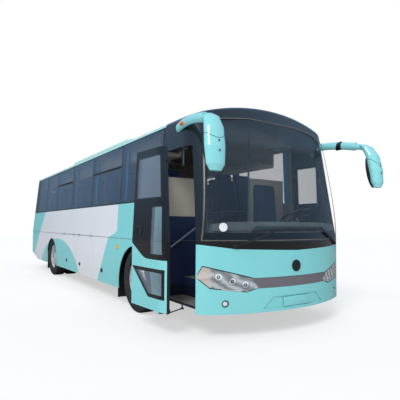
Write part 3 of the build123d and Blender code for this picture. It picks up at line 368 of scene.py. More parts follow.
# Moulded ABS: fine pebble texture of about 1 mm, low sheen.
black_abs = plain("moulded_black_abs", "#1C1B1E", 0.5, second="#262528")
grey_abs = plain("moulded_grey_abs", "#5F5A60", 0.42, second="#555057", coat=0.2)
# Grille strip: grey moulding with fine lengthwise slats of about 12 mm; the grooves between them are painted
# darker as shade.
grille_slats, tree, shader, coordinates, place = material("grille_slat_abs", 0.38, coat=0.3)
slats_and_groove_shade = add(tree, "ShaderNodeTexWave", {0: coordinates, "Scale": 26.0}, bands_direction="Z").outputs[1]
# The darker tone in the grooves between slats is painted shade.
cover(tree, shader, blend(tree, slats_and_groove_shade, "#575259", "#7C757B"))
relief(tree, shader, slats_and_groove_shade, 0.6, 0.003)
lining_board = plain("laminated_lining_board", "#A39E90", 0.6, second="#978F82", grain=400.0)
# Vulcanised rubber: carbon black, slightly dusty.
rubber = plain("black_vulcanised_rubber", "#1A1A1B", 0.75, second="#2B2A28", blotch=14.0)
# Studded floor covering, seen as a grey sheet with a coarse grain.
floor_rubber = plain("studded_floor_rubber", "#6B6660", 0.7, second="#5A554F", grain=220.0, depth=0.001)
# Step well: grey studded treads with navy laminate on the upright faces.
step_well, tree, shader, coordinates, place = material("step_well_laminate", 0.6)
tread = calc(tree, MORE, outlook(tree)[2], 0.5)
panel = blend(tree, calc(tree, LESS, place.outputs[2], 0.5), "#16254A", "#101A30")
cover(tree, shader, blend(tree, tread, panel, "#77736D"))
studs = add(tree, "ShaderNodeTexVoronoi", {0: coordinates, "Scale": 55.0}).outputs["Distance"]
relief(tree, shader, studs, 0.5, 0.0015)

# Partitions: beige board behind the driver, navy board with a beige upper half behind the door.
NAVY = "#1B2B52"
partition_board, tree, shader, coordinates, place = material("partition_board", 0.55)
door_side = calc(tree, LESS, place.outputs[0], 0.0)
upper_half = calc(tree, MORE, place.outputs[2], 1.42)
cover(tree, shader, blend(tree, door_side, "#B3AE9F", blend(tree, upper_half, NAVY, "#B9B2A2")))
relief(tree, shader, noise(tree, coordinates, 400.0, 2.0), 0.3, 0.0004)

# Brushed stainless rail: bright, with a fine grain.
rail_steel = plain("brushed_stainless_rail", "#C4C6C8", 0.28, metallic=1.0, second="#B4B6B8")
# Chassis paint over steel sections, with road film.
chassis_paint = plain("black_chassis_paint", "#1A1A1C", 0.55, second="#3A3733", blotch=4.0)
cast_iron = plain("sand_cast_axle_iron", "#3A3836", 0.7, metallic=0.3, second="#4C443C", grain=300.0,
                  depth=0.0008)
# Silver wheel enamel, greyed in patches by brake dust.
wheel_enamel = plain("silver_wheel_enamel", "#CDD0D4", 0.35, metallic=0.2, second="#A6A8AA", blotch=11.0,
                     coat=0.3)
zinc = plain("zinc_plated_nuts", "#D2D4D6", 0.25, metallic=1.0, second="#B8B8B4")
tank_sheet = plain("milled_aluminium_sheet", "#A8AAAC", 0.4, metallic=0.9, second="#8E8E8E")
plate_white = plain("blank_plate_enamel", "#E8E9EA", 0.35, second="#DDDEE0")
amber_lens = plain("amber_acrylic_lens", "#E8702A", 0.15, second="#D85A18", coat=0.6, ior=1.49)
bronze = plain("bronze_anodised_bead", "#7D7468", 0.35, metallic=0.5, second="#6E665C")
silvered = plain("silvered_mirror_glass", "#DDE2E6", 0.03, metallic=1.0, second="#D5DADF", depth=0.0)

# Dashboard: soft grey skin above, navy laminate on the console below it.
dash_skin, tree, shader, coordinates, place = material("dashboard_skin", 0.55)
console = calc(tree, LESS, place.outputs[2], 1.08)
cover(tree, shader, blend(tree, console, "#5A5C60", NAVY))
pebble = add(tree, "ShaderNodeTexVoronoi", {0: coordinates, "Scale": 380.0}).outputs["Distance"]
relief(tree, shader, pebble, 0.35, 0.0006)

cowl_skin = plain("cowl_skin", "#66736F", 0.6, second="#5A6663", grain=500.0)

# Lamp acrylic by place: amber and red bands at the tail, clear fogs in front, amber markers along the skirt.
lamp_acrylic, tree, shader, coordinates, place = material("lamp_acrylic", 0.12, ior=1.49, coat=0.5)
FOG_LAMP = (0.96, 0, 0.41)
rear = calc(tree, MORE, place.outputs[1], 4.0)
front = calc(tree, LESS, place.outputs[1], -4.3)
tail_colour = blend(tree, calc(tree, MORE, place.outputs[2], 1.08), "#B01818", "#E0742A")
side_lens = blend(tree, calc(tree, MORE, place.outputs[2], 0.7), "#4A3B3A", "#E6A61C")
out, face = face_plane(tree, place)
rim = stretch(tree, reach_from(tree, face, FOG_LAMP), 0.020, 0.030, 0.0, 1.0)
fog_colour = blend(tree, rim, "#C9D0D5", "#35494A")
cover(tree, shader, blend(tree, front, blend(tree, rear, side_lens, tail_colour), fog_colour))
flutes = add(tree, "ShaderNodeTexVoronoi", {0: coordinates, "Scale": 120.0}).outputs["Distance"]
relief(tree, shader, flutes, 0.5, 0.002)

# Tyre rubber: matt carbon black with patches of grey dust.
tyre_rubber, tree, shader, coordinates, place = material("radial_tyre_rubber", 0.82)
dusty = noise(tree, coordinates, 12.0, 6.0)
cover(tree, shader, blend(tree, stretch(tree, dusty, 0.4, 0.75, 0.0, 0.6), "#1F1F20", "#3A3835"))
relief(tree, shader, dusty, 0.5, 0.002)


def woven(name, colour, second, thread_mm):
    """Woven cloth: crossed waves, each about a quarter wider than the given thread spacing."""
    made, tree, shader, coordinates, place = material(name, 0.85)
    shader.inputs["Sheen Weight"].default_value = 0.25
    scale = 1000.0 / (thread_mm * 4)
    warp = add(tree, "ShaderNodeTexWave", {0: coordinates, "Scale": scale}, bands_direction="Y").outputs[1]
    weft = add(tree, "ShaderNodeTexWave", {0: coordinates, "Scale": scale}, bands_direction="Z").outputs[1]
    cross = calc(tree, "MULTIPLY", warp, weft)
    share = calc(tree, "MULTIPLY", cross, noise(tree, coordinates, 5.0, 3.0))
    cover(tree, shader, blend(tree, share, colour, second))
    relief(tree, shader, cross, 0.5, 0.001)
    return made


seat_moquette = woven("seat_moquette", "#1F3160", "#3C5490", 2.0)
curtain_cloth = woven("curtain_polyester", "#3C93C8", "#6CBBE6", 1.2)

finishes = {
    side_enamel: ["side_wall_left", "side_wall_right", "hatch_left_1", "hatch_left_2", "hatch_right_1",
                  "hatch_right_2"],
    mint_enamel: ["front_panel", "front_bumper", "rear_panel", "engine_lid"],
    mirror_enamel: ["mirrors"],
    roof_enamel: ["roof_shell", "roof_air_unit"],
    black_enamel: ["front_surround"],
    door_enamel: ["passenger_door"],
    window_glass: ["side_windows"],
    door_glass: ["door_windows"],
    screen_glass: ["windscreen"],
    lamp_cluster: ["headlamps"],
    lamp_acrylic: ["small_lamps"],
    grille_slats: ["grille_strip"],
    black_abs: ["wipers", "steering_wheel", "door_arms"],
    dash_skin: ["dashboard"],
    floor_rubber: ["cabin_floor"],
    step_well: ["entry_steps"],
    partition_board: ["partitions"],
    lining_board: ["luggage_racks"],
    rail_steel: ["cabin_rails", "hinge_pins"],
    chassis_paint: ["chassis_frame", "floor_bearers", "floor_posts", "tow_brackets"],
    cast_iron: ["front_axle", "rear_axle", "knuckle_left", "knuckle_right", "tie_rod", "engine_block"],
    rubber: ["air_springs", "mud_flaps"],
    tank_sheet: ["fuel_tank", "luggage_bay"],
    wheel_enamel: ["front_rim_left", "front_rim_right", "rear_rims_left", "rear_rims_right"],
    tyre_rubber: ["front_tyre_left", "front_tyre_right", "rear_tyres_left", "rear_tyres_right"],
    seat_moquette: ["seats"],
    curtain_cloth: ["curtains"],
}
for finish, names in finishes.items():
    for name in names:
        nodes[name].data.materials.clear()
        nodes[name].data.materials.append(finish)


# Making pieces as by hand

def primitive(kind, name, **settings):
    """Add one primitive with everything else deselected."""
    bpy.ops.object.select_all(action="DESELECT")
    getattr(bpy.ops.mesh, f"primitive_{kind}_add")(**settings)
    piece = bpy.context.active_object
    piece.name = name
    piece.data.name = name
    return piece


def settle(piece):
    """Put the piece's place, turn and size into its mesh."""
    bpy.ops.object.select_all(action="DESELECT")
    piece.select_set(True)
    bpy.context.view_layer.objects.active = piece
    bpy.ops.object.transform_apply(location=True, rotation=True, scale=True)
    return piece


def modify(piece, kind, **settings):
    """Add one modifier and apply it."""
    bpy.context.view_layer.objects.active = piece
    modifier = piece.modifiers.new(kind.title(), kind)
    for key, value in settings.items():
        setattr(modifier, key, value)
    bpy.ops.object.modifier_apply(modifier=modifier.name)
    return piece


def edit(piece, test, element="FACE"):
    """Enter edit mode with the faces or edges selected whose centre passes the test."""
    bpy.ops.object.select_all(action="DESELECT")
    piece.select_set(True)
    bpy.context.view_layer.objects.active = piece
    bpy.ops.object.mode_set(mode="EDIT")
    bpy.ops.mesh.select_mode(type=element)
    bpy.ops.mesh.select_all(action="DESELECT")
    bpy.ops.object.mode_set(mode="OBJECT")
    mesh = piece.data
    if element == "FACE":
        for face in mesh.polygons:
            face.select = bool(test(face.center, face.normal))
    else:
        for edge in mesh.edges:
            a, b = (mesh.vertices[i].co for i in edge.vertices)
            edge.select = bool(test((a + b) / 2, b - a))
    bpy.ops.object.mode_set(mode="EDIT")


def leave():
    """Leave edit mode."""
    bpy.ops.object.mode_set(mode="OBJECT")


def copy_piece(piece, name, move=(0, 0, 0), flip=False):
    """A copy with its own mesh, moved, or mirrored to the other side of the bus."""
    twin = piece.copy()
    twin.data = piece.data.copy()
    twin.name = name
    twin.data.name = name
    bpy.context.scene.collection.objects.link(twin)
    twin.location = move
    if flip:
        twin.scale = (-1, 1, 1)
    settle(twin)
    if flip:
        edit(twin, lambda c, n: True)
        bpy.ops.mesh.normals_make_consistent(inside=False)
        leave()
    return twin


def join(pieces, name):
    """Join finished pieces into one."""
    bpy.ops.object.select_all(action="DESELECT")
    for piece in pieces:
        piece.select_set(True)
    bpy.context.view_layer.objects.active = pieces[0]
    bpy.ops.object.join()
    pieces[0].name = name
    pieces[0].data.name = name
    return pieces[0]


def finish_piece(piece, body, finish, smooth=35):
    """Smooth, finish and mount a piece on its body."""
    settle(piece)
    bpy.ops.object.shade_smooth_by_angle(angle=math.radians(smooth))
    if finish is not None:
        piece.data.materials.clear()
        piece.data.materials.append(finish)
    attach(piece, body)
    return piece


def bar(name, low, high, bevel=0.003):
    """Bevelled bar between two corners."""
    centre = [(a + b) / 2 for a, b in zip(low, high)]
    size = [b - a for a, b in zip(low, high)]
    piece = primitive("cube", name, size=1, location=centre)
    piece.scale = size
    settle(piece)
    edit(piece, lambda c, d: True, "EDGE")
    bpy.ops.mesh.bevel(offset=bevel, segments=2, affect="EDGES")
    leave()
    return piece


# Tyres: section bent round the axle, four grooves sunk into the tread and notches in its shoulders

TYRE_X, TWIN_SPACING = 1.105, 0.315
TYRE_WIDTH, SECTION_HEIGHT, SECTION_R = 0.272, 0.188, 0.382
SHOULDER_ROUNDING = 0.055
TREAD_CUTS, TYRE_STEPS = 10, 80
GROOVE_PLACES, GROOVE_HALF, GROOVE_DEPTH = (-0.051, -0.017, 0.017, 0.051), 0.008, 0.011
NOTCH_FROM, NOTCH_DEPTH = 0.058, 0.006
TREAD_R, SHOULDER_R = 0.4735, 0.455


def make_tyre(name, x, s):
    """Tyre with its middle at x on the axle at s."""
    axle = Vector((x, FRONT_Y + s, WHEEL_Z))
    section = primitive("plane", name, size=1, location=axle + Vector((0, 0, SECTION_R)),
                        rotation=(math.pi / 2, 0, 0))
    section.scale = (TYRE_WIDTH, SECTION_HEIGHT, 1)
    settle(section)
    edit(section, lambda c, n: True)
    bpy.ops.mesh.bevel(offset=SHOULDER_ROUNDING, segments=4, affect="VERTICES")
    leave()
    edit(section, lambda c, d: c.z > WHEEL_Z + 0.475, "EDGE")
    bpy.ops.mesh.subdivide(number_cuts=TREAD_CUTS)
    leave()
    edit(section, lambda c, n: True)
    bpy.ops.mesh.delete(type="ONLY_FACE")
    bpy.ops.mesh.select_all(action="SELECT")
    bpy.ops.mesh.spin(steps=TYRE_STEPS, angle=2 * math.pi, center=axle, axis=(1, 0, 0))
    bpy.ops.mesh.select_all(action="SELECT")
    bpy.ops.mesh.remove_doubles(threshold=0.0005)
    bpy.ops.mesh.normals_make_consistent(inside=False)
    leave()

    def groove(c, n):
        r = math.hypot(c.y - axle.y, c.z - axle.z)
        return r > TREAD_R and any(abs(c.x - x - g) < GROOVE_HALF for g in GROOVE_PLACES)

    def notch(c, n):
        r = math.hypot(c.y - axle.y, c.z - axle.z)
        turn = math.atan2(c.z - axle.z, c.y - axle.y) / (2 * math.pi) * TYRE_STEPS
        return r > SHOULDER_R and abs(c.x - x) > NOTCH_FROM and int(math.floor(turn)) % 2 == 0

    for test, depth in ((groove, GROOVE_DEPTH), (notch, NOTCH_DEPTH)):
        edit(section, test)
        bpy.ops.mesh.extrude_region_shrink_fatten(TRANSFORM_OT_shrink_fatten={"value": -depth})
        leave()
    return section


front_tyre = make_tyre("front_tyre_tread_left", TYRE_X, FRONT_AXLE_S)
rear_step = REAR_AXLE_S - FRONT_AXLE_S
tyres = {"front_tyre_tread_right": [copy_piece(front_tyre, "front_tyre_tread_right", flip=True)]}
for side, flip in (("left", False), ("right", True)):
    pair = []
    for i, dx in enumerate((0.0, -TWIN_SPACING)):
        moved = copy_piece(front_tyre, f"twin_{side}_{i}", move=(dx, rear_step, 0))
        if flip:
            mirrored = copy_piece(moved, f"twin_flip_{i}", flip=True)
            bpy.data.objects.remove(moved)
            moved = mirrored
        pair.append(moved)
    tyres[f"rear_tyre_treads_{side}"] = pair
tyres["front_tyre_tread_left"] = [front_tyre]
places = {
    "front_tyre_tread_left": ("front_wheel_left", "front_tyre_left"),
    "front_tyre_tread_right": ("front_wheel_right", "front_tyre_right"),
    "rear_tyre_treads_left": ("rear_wheel_left", "rear_tyres_left"),
    "rear_tyre_treads_right": ("rear_wheel_right", "rear_tyres_right"),
}
for name, pair in tyres.items():
    piece = join(pair, name) if len(pair) > 1 else pair[0]
    finish_piece(piece, places[name][0], tyre_rubber, smooth=30)
    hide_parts(places[name][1])

# Wheel nuts: ten six-sided nuts with a stepped end on each wheel

NUTS, NUT_CIRCLE_R, NUT_R, NUT_LENGTH = 10, 0.15, 0.0165, 0.024
FRONT_NUT_X, REAR_NUT_X = 1.186, 0.972
nut_sets = [("front_wheel_left", FRONT_NUT_X, FRONT_AXLE_S, False),
            ("front_wheel_right", FRONT_NUT_X, FRONT_AXLE_S, True),
            ("rear_wheel_left", REAR_NUT_X, REAR_AXLE_S, False),
            ("rear_wheel_right", REAR_NUT_X, REAR_AXLE_S, True)]
for body, x, s, flip in nut_sets:
    nuts = []
    for i in range(NUTS):
        angle = 2 * math.pi * (i + 0.5) / NUTS
        at = (x, FRONT_Y + s + NUT_CIRCLE_R * math.cos(angle), WHEEL_Z + NUT_CIRCLE_R * math.sin(angle))
        nut = primitive("cylinder", f"nut_{i}", vertices=6, radius=NUT_R, depth=NUT_LENGTH, location=at,
                        rotation=(0, math.pi / 2, 0))
        settle(nut)
        edit(nut, lambda c, n: n.x > 0.9)
        bpy.ops.mesh.inset(thickness=0.005, depth=0.008)
        leave()
        nuts.append(nut)
    piece = join(nuts, f"{body}_nuts")
    if flip:
        turned = copy_piece(piece, f"{body}_nuts_set", flip=True)
        bpy.data.objects.remove(piece)
        piece = turned
    finish_piece(piece, body, zinc)

# Curtains: one pleated sheet at each pane joint, hung from the rail over the windows

CURTAIN_SPANS = ((1.235, 1.33), (2.52, 2.69), (3.95, 4.11), (5.28, 5.44), (6.65, 6.81), (7.74, 7.90))
CURTAIN_LOW, CURTAIN_HIGH = 1.66, 2.56
PLEAT_WIDTH, PLEAT_DEPTH = 0.034, 0.011
CURTAIN_INSET = 0.0575
for side in (1, -1):
    label = "left" if side > 0 else "right"
    for i, (s0, s1) in enumerate(CURTAIN_SPANS):
        width, height = s1 - s0, CURTAIN_HIGH - CURTAIN_LOW
        name = f"curtain_{label}_{i + 1}"
        sheet = primitive("grid", name, x_subdivisions=36, y_subdivisions=16, size=1)
        pleats = max(2, round(width / PLEAT_WIDTH))
        for vertex in sheet.data.vertices:
            along, up = vertex.co.x + 0.5, vertex.co.y + 0.5
            z = CURTAIN_LOW + up * height
            wave = math.sin(2 * math.pi * pleats * along) * (0.7 + 0.3 * (1 - up))
            inward = CURTAIN_INSET + PLEAT_DEPTH * (1 + wave * 0.95)
            vertex.co = (side * (side_x(z) - inward), FRONT_Y + s0 + along * width, z)
        modify(sheet, "SOLIDIFY", thickness=0.0012)
        finish_piece(sheet, "bus_body", curtain_cloth, smooth=60)
        if i == 0 and side == 1:
            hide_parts("curtains")

# Seats: crowned cushions, backs and head rolls with pulled-in sides, on plain grey legs

FLOOR_Z, DRIVER_FLOOR_Z = 1.08, 0.84
SEAT_ROWS, FIRST_ROW_S, ROW_PITCH = 9, 1.56, 0.76
SEAT_X, LEG_X = (0.5425, 0.9475), (0.48, 1.01)
SEAT_WIDTH, DRIVER_WIDTH = 0.395, 0.47
SIDE_PULL, CROWN = 0.05, 0.10


def cushion(name, centre, size, turn=0.0):
    """One stuffed block: sides pulled in between the corners, crowned faces, soft edges."""
    pad = primitive("cube", name, size=1, location=(0, 0, 0))
    edit(pad, lambda c, n: True)
    bpy.ops.mesh.subdivide(number_cuts=5)
    leave()
    for vertex in pad.data.vertices:
        x, y, z = vertex.co * 2
        pull = 1 - SIDE_PULL * (1 - z * z)
        crown = 1 + CROWN * (1 - x * x) * (1 - y * y) if z > 0 else 1
        vertex.co = (x * pull * size[0] / 2, y * pull * size[1] / 2, z * crown * size[2] / 2 / (1 + CROWN))
    modify(pad, "SUBSURF", levels=1, render_levels=1)
    pad.rotation_euler = (turn, 0, 0)
    pad.location = centre
    return settle(pad)


def seat_pads(name, s, x, wide, floor, cushion_z, back, back_top):
    """Cushion, back and head roll of one place, at x, its cushion's front edge at s."""
    y = FRONT_Y + s
    base = cushion(f"{name}_cushion", (x, y + 0.24, floor + cushion_z), (wide, 0.46, 0.13), 0.06)
    lean = math.atan2(back[1], back[0])
    middle = (x, y + 0.47 + back[1] / 2, floor + cushion_z + 0.02 + back[0] / 2)
    rest = cushion(f"{name}_back", middle, (wide, back[0], 0.12), math.pi / 2 - lean)
    roll = cushion(f"{name}_roll", (x, y + 0.47 + back[1] + 0.045, floor + back_top), (wide * 0.8, 0.2, 0.1),
                   math.pi / 2 - lean)
    return [base, rest, roll]


pads = []
legs = []
for row in range(SEAT_ROWS):
    row_s = FIRST_ROW_S + ROW_PITCH * row
    for x in SEAT_X:
        for side in (1, -1):
            pads += seat_pads(f"seat_{row}_{x}_{side}", row_s, side * x, SEAT_WIDTH, FLOOR_Z, 0.40,
                              (0.60, 0.12), 1.03)
driver_pads = seat_pads("driver", 0.85, 0.72, DRIVER_WIDTH, DRIVER_FLOOR_Z, 0.40, (0.70, 0.07), 1.10)
seat_cushions = join(pads + driver_pads, "seat_cushions")
finish_piece(seat_cushions, "bus_body", seat_moquette, smooth=60)
for row in range(SEAT_ROWS):
    row_s = FIRST_ROW_S + ROW_PITCH * row
    for side in (1, -1):
        for x in LEG_X:
            low = (side * x - 0.02, FRONT_Y + row_s + 0.15, FLOOR_Z)
            high = (side * x + 0.02, FRONT_Y + row_s + 0.40, FLOOR_Z + 0.34)
            legs.append(bar(f"leg_{row}_{side}_{x}", low, high, bevel=0.006))
legs.append(bar("driver_foot", (0.57, FRONT_Y + 0.93, DRIVER_FLOOR_Z), (0.87, FRONT_Y + 1.15, 1.18),
                bevel=0.02))
seat_frames = join(legs, "seat_frames")
finish_piece(seat_frames, "bus_body", grey_abs)
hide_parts("seats")

# Mirror glasses in their bezels and the marker lamps on the arms

HEAD_LEAN = 0.16
BEZEL_X, BEZEL_S, BEZEL_Z = 1.393, -0.128, 2.075
MARKER_X, MARKER_S, MARKER_Z = 1.296, 0.62, 2.512
for side in (1, -1):
    label = "left" if side > 0 else "right"
    bezel = primitive("cylinder", f"mirror_bezel_{label}", vertices=48, radius=1, depth=1,
                      location=(side * BEZEL_X, FRONT_Y + BEZEL_S, BEZEL_Z),
                      rotation=(-math.pi / 2 - HEAD_LEAN, 0, 0))
    bezel.scale = (0.1, 0.235, 0.05)
    settle(bezel)
    edit(bezel, lambda c, n: n.y > 0.9)
    bpy.ops.mesh.inset(thickness=0.008, depth=-0.004)
    bezel.data.materials.append(black_abs)
    bezel.data.materials.append(silvered)
    bezel.active_material_index = 1
    bpy.ops.object.material_slot_assign()
    leave()
    finish_piece(bezel, "bus_body", None)
    marker = primitive("uv_sphere", f"arm_marker_{label}", segments=24, ring_count=12, radius=1,
                       location=(side * MARKER_X, FRONT_Y + MARKER_S, MARKER_Z))
    marker.scale = (0.018, 0.05, 0.026)
    settle(marker)
    edit(marker, lambda c, n: abs(n.x) > 0.9)
    bpy.ops.mesh.inset(thickness=0.002, depth=0.001)
    leave()
    finish_piece(marker, "bus_body", amber_lens)

# Black clip round the driver's side mirror arm and two screw caps on each head

CAP_X, CAP_PLACES = 1.397, ((2.135, -0.2575), (2.035, -0.2675))
clip = primitive("cylinder", "mirror_arm_clip", vertices=32, radius=1, depth=0.10,
                 location=(1.302, FRONT_Y + 0.335, 2.500), rotation=(math.pi / 2, 0, -0.16))
clip.scale = (0.045, 0.061, 1.0)
settle(clip)
edit(clip, lambda c, d: d.length > 0.09, "EDGE")
bpy.ops.mesh.bevel(offset=0.004, segments=2, affect="EDGES")
leave()
finish_piece(clip, "bus_body", black_abs)
for side in (1, -1):
    label = "left" if side > 0 else "right"
    caps = []
    for z, s in CAP_PLACES:
        cap = primitive("cylinder", f"screw_cap_{z}", vertices=20, radius=0.009, depth=0.012,
                        location=(side * CAP_X, FRONT_Y + s, z), rotation=(math.pi / 2, 0, 0))
        settle(cap)
        edit(cap, lambda c, n: n.y < -0.9)
        bpy.ops.mesh.inset(thickness=0.003, depth=-0.002)
        leave()
        caps.append(cap)
    finish_piece(join(caps, f"mirror_screws_{label}"), "bus_body", black_abs)

# Pull pocket let into the black field of the door: a rounded frame with a sunk floor

POCKET_S, POCKET_Z = 1.02, 1.22
pocket_at = DOOR_TURN @ Vector((-side_x(POCKET_Z) - 0.001, FRONT_Y + POCKET_S, POCKET_Z)) + DOOR_MOVE
pocket = bar("door_pull_pocket", (-0.006, -0.062, -0.062), (0.006, 0.062, 0.062), bevel=0.004)
edit(pocket, lambda c, n: n.x < -0.9)
bpy.ops.mesh.inset(thickness=0.012, depth=0)
bpy.ops.mesh.inset(thickness=0.004, depth=-0.006)
bpy.ops.mesh.inset(thickness=0.014, depth=0)
bpy.ops.mesh.inset(thickness=0.006, depth=0.004)
leave()
pocket.rotation_euler = (0, math.atan(SIDE_LEAN), DOOR_TURN.to_euler().z)
pocket.location = pocket_at
settle(pocket)
finish_piece(pocket, "passenger_door", black_abs)

# Opening windows: two-part bars across the hopper panes on both sides

HOPPER_Z, HOPPER_SPANS = 2.24, ((2.64, 3.99), (5.40, 6.69))
x = side_x(HOPPER_Z)
bars = []
for s0, s1 in HOPPER_SPANS:
    y0, y1 = FRONT_Y + s0, FRONT_Y + s1
    bars.append(bar("hopper_rail", (x - 0.004, y0, HOPPER_Z - 0.014), (x + 0.004, y1, HOPPER_Z + 0.014)))
    bars.append(bar("hopper_drip", (x + 0.002, y0, HOPPER_Z + 0.012), (x + 0.007, y1, HOPPER_Z + 0.018),
                    bevel=0.001))
hopper = join(bars, "hopper_rails_left")
hopper_right = copy_piece(hopper, "hopper_rails_right", flip=True)
for piece in (hopper, hopper_right):
    finish_piece(piece, "bus_body", black_abs)

# Pane joints: narrow black rubber strips between the side panes

PANE_JOINTS = (2.6, 4.03, 5.36, 6.73, 7.82)
PANE_LOW, PANE_HEIGHT = 1.633, 0.959
strips = []
for s in PANE_JOINTS:
    strip = primitive("grid", f"strip_{s}", x_subdivisions=2, y_subdivisions=10, size=1)
    for vertex in strip.data.vertices:
        z = PANE_LOW + (vertex.co.y + 0.5) * PANE_HEIGHT
        vertex.co = (side_x(z) + 0.0015, FRONT_Y + s + vertex.co.x * 0.012, z)
    modify(strip, "SOLIDIFY", thickness=0.003)
    strips.append(strip)
pane_strips = join(strips, "pane_strips_left")
pane_strips_right = copy_piece(pane_strips, "pane_strips_right", flip=True)
for piece in (pane_strips, pane_strips_right):
    finish_piece(piece, "bus_body", rubber)

# Round badge boss on the front panel, kept plain, and the blank plate below

BOSS_X, BOSS_Z, BOSS_R = -0.018, 0.813, 0.07
boss_y = FRONT_Y + front_s(BOSS_X, BOSS_Z) - 0.004
boss = primitive("cylinder", "front_badge_boss", vertices=48, radius=BOSS_R, depth=0.012,
                 location=(BOSS_X, boss_y, BOSS_Z), rotation=(math.pi / 2, 0, 0))
settle(boss)
edit(boss, lambda c, n: n.y < -0.9)
bpy.ops.mesh.inset(thickness=0.010, depth=0.003)
bpy.ops.mesh.inset(thickness=0.004, depth=-0.002)
leave()
finish_piece(boss, "bus_body", black_abs)
plate = bar("front_plate_blank", (-0.225, FRONT_Y - 0.004, 0.338), (0.225, FRONT_Y + 0.008, 0.448),
            bevel=0.002)
finish_piece(plate, "bus_body", mint_enamel)
rear_plate = bar("rear_plate_blank", (-0.26, FRONT_Y + 9.752, 0.70), (0.26, FRONT_Y + 9.7605, 0.81),
                 bevel=0.002)
finish_piece(rear_plate, "engine_lid", plate_white)

# Bead round the windscreen: a bronze strip lapped over the joint of glass and enamel

SCREEN_LINE = [(0.0, 2.656), (0.42, 2.656), (0.64, 2.630), (0.855, 2.601), (0.95, 2.552), (1.026, 2.498),
               (1.070, 2.415), (1.101, 2.322), (1.147, 1.72), (1.196, 1.124), (0.6, 1.124), (0.0, 1.124)]
BEAD_STEP = 0.06
BEAD_MIDDLE_Z, BEAD_SPREAD_X, BEAD_SPREAD_Z = 1.89, 0.011, 0.014
loop = SCREEN_LINE + [(-x, z) for x, z in reversed(SCREEN_LINE[1:-1])]
fine_loop = []
for (x0, z0), (x1, z1) in zip(loop, loop[1:] + loop[:1]):
    count = max(1, round(math.hypot(x1 - x0, z1 - z0) / BEAD_STEP))
    fine_loop += [(x0 + (x1 - x0) * k / count, z0 + (z1 - z0) * k / count) for k in range(count)]
bead = primitive("grid", "windscreen_bead", x_subdivisions=len(fine_loop), y_subdivisions=1, size=1)
for vertex in bead.data.vertices:
    x, z = fine_loop[round((vertex.co.x + 0.5) * len(fine_loop)) % len(fine_loop)]
    x *= 1 + vertex.co.y * BEAD_SPREAD_X
    z = BEAD_MIDDLE_Z + (z - BEAD_MIDDLE_Z) * (1 + vertex.co.y * BEAD_SPREAD_Z)
    vertex.co = (x, FRONT_Y + front_s(x, z) - 0.001, z)
edit(bead, lambda c, n: True)
bpy.ops.mesh.remove_doubles(threshold=0.0005)
bpy.ops.mesh.normals_make_consistent(inside=False)
leave()
modify(bead, "SOLIDIFY", thickness=0.006, offset=0.0)
finish_piece(bead, "bus_body", bronze)

# Moulded cowl that rises from the dashboard to the windscreen, with four air outlets sunk into its top

COWL_LOW, COWL_HIGH = 1.2352, 1.345
COWL_REAR_S, COWL_WIDTH = 0.50, 2.14
OUTLET_X, OUTLET_HALF, OUTLET_S = (-0.72, -0.34, 0.04, 0.42), 0.085, (0.36, 0.46)
cowl = primitive("grid", "dashboard_cowl", x_subdivisions=40, y_subdivisions=8, size=1)
for vertex in cowl.data.vertices:
    x = vertex.co.x * COWL_WIDTH
    back = vertex.co.y + 0.5
    z = COWL_HIGH - 0.02 * back - 0.03 * abs(vertex.co.x * 2) ** 4
    near = front_s(x, z) + 0.045
    vertex.co = (x, FRONT_Y + near + (COWL_REAR_S - near) * back, z)
edit(cowl, lambda c, n: True)
bpy.ops.mesh.extrude_region_move(TRANSFORM_OT_translate={"value": (0, 0, -0.05)})
leave()
edit(cowl, lambda c, n: abs(n.z) > 0.9 and any(abs(c.x - x) < OUTLET_HALF for x in OUTLET_X) and
     OUTLET_S[0] < c.y - FRONT_Y < OUTLET_S[1] and c.z > COWL_HIGH - 0.04)
bpy.ops.mesh.inset(thickness=0.006, depth=-0.012)
leave()
for vertex in cowl.data.vertices:
    if vertex.co.z < COWL_HIGH - 0.052:
        vertex.co.z = COWL_LOW
edit(cowl, lambda c, n: True)
bpy.ops.mesh.normals_make_consistent(inside=False)
leave()
finish_piece(cowl, "bus_body", cowl_skin)

# Blank permit disc, laid along the slope of the windscreen

DISC_X, DISC_Z, DISC_R = -0.985, 1.275, 0.05
STEP = 0.01
disc_s = front_s(DISC_X, DISC_Z)
slope_x = (front_s(DISC_X + STEP, DISC_Z) - front_s(DISC_X - STEP, DISC_Z)) / (2 * STEP)
slope_z = (front_s(DISC_X, DISC_Z + STEP) - front_s(DISC_X, DISC_Z - STEP)) / (2 * STEP)
outward = Vector((slope_x, -1.0, slope_z)).normalized()
disc = primitive("cylinder", "permit_disc_blank", vertices=40, radius=DISC_R, depth=0.0024,
                 location=Vector((DISC_X, FRONT_Y + disc_s, DISC_Z)) + outward * 0.0015,
                 rotation=outward.to_track_quat("Z", "Y").to_euler())
settle(disc)
edit(disc, lambda c, n: n.dot(outward) > 0.9)
bpy.ops.mesh.inset(thickness=0.004, depth=-0.0006)
leave()
finish_piece(disc, "bus_body", plate_white)

# Lamp bezels along the skirt: black surrounds of the markers

RING_PLACES = (3.335, 4.63, 5.61)
RING_HALF, RING_LOW, RING_HIGH = 0.048, 0.458, 0.524
rings = []
for s in RING_PLACES:
    ring = bar(f"marker_ring_{s}", (HALF_WIDTH - 0.002, FRONT_Y + s - RING_HALF, RING_LOW),
               (HALF_WIDTH + 0.008, FRONT_Y + s + RING_HALF, RING_HIGH), 0.004)
    edit(ring, lambda c, n: n.x > 0.9)
    bpy.ops.mesh.inset(thickness=0.014, depth=-0.006)
    leave()
    rings.append(ring)
marker_rings = join(rings, "marker_rings_left")
marker_rings_right = copy_piece(marker_rings, "marker_rings_right", flip=True)
for piece in (marker_rings, marker_rings_right):
    finish_piece(piece, "bus_body", black_abs)

# Stage, light and camera

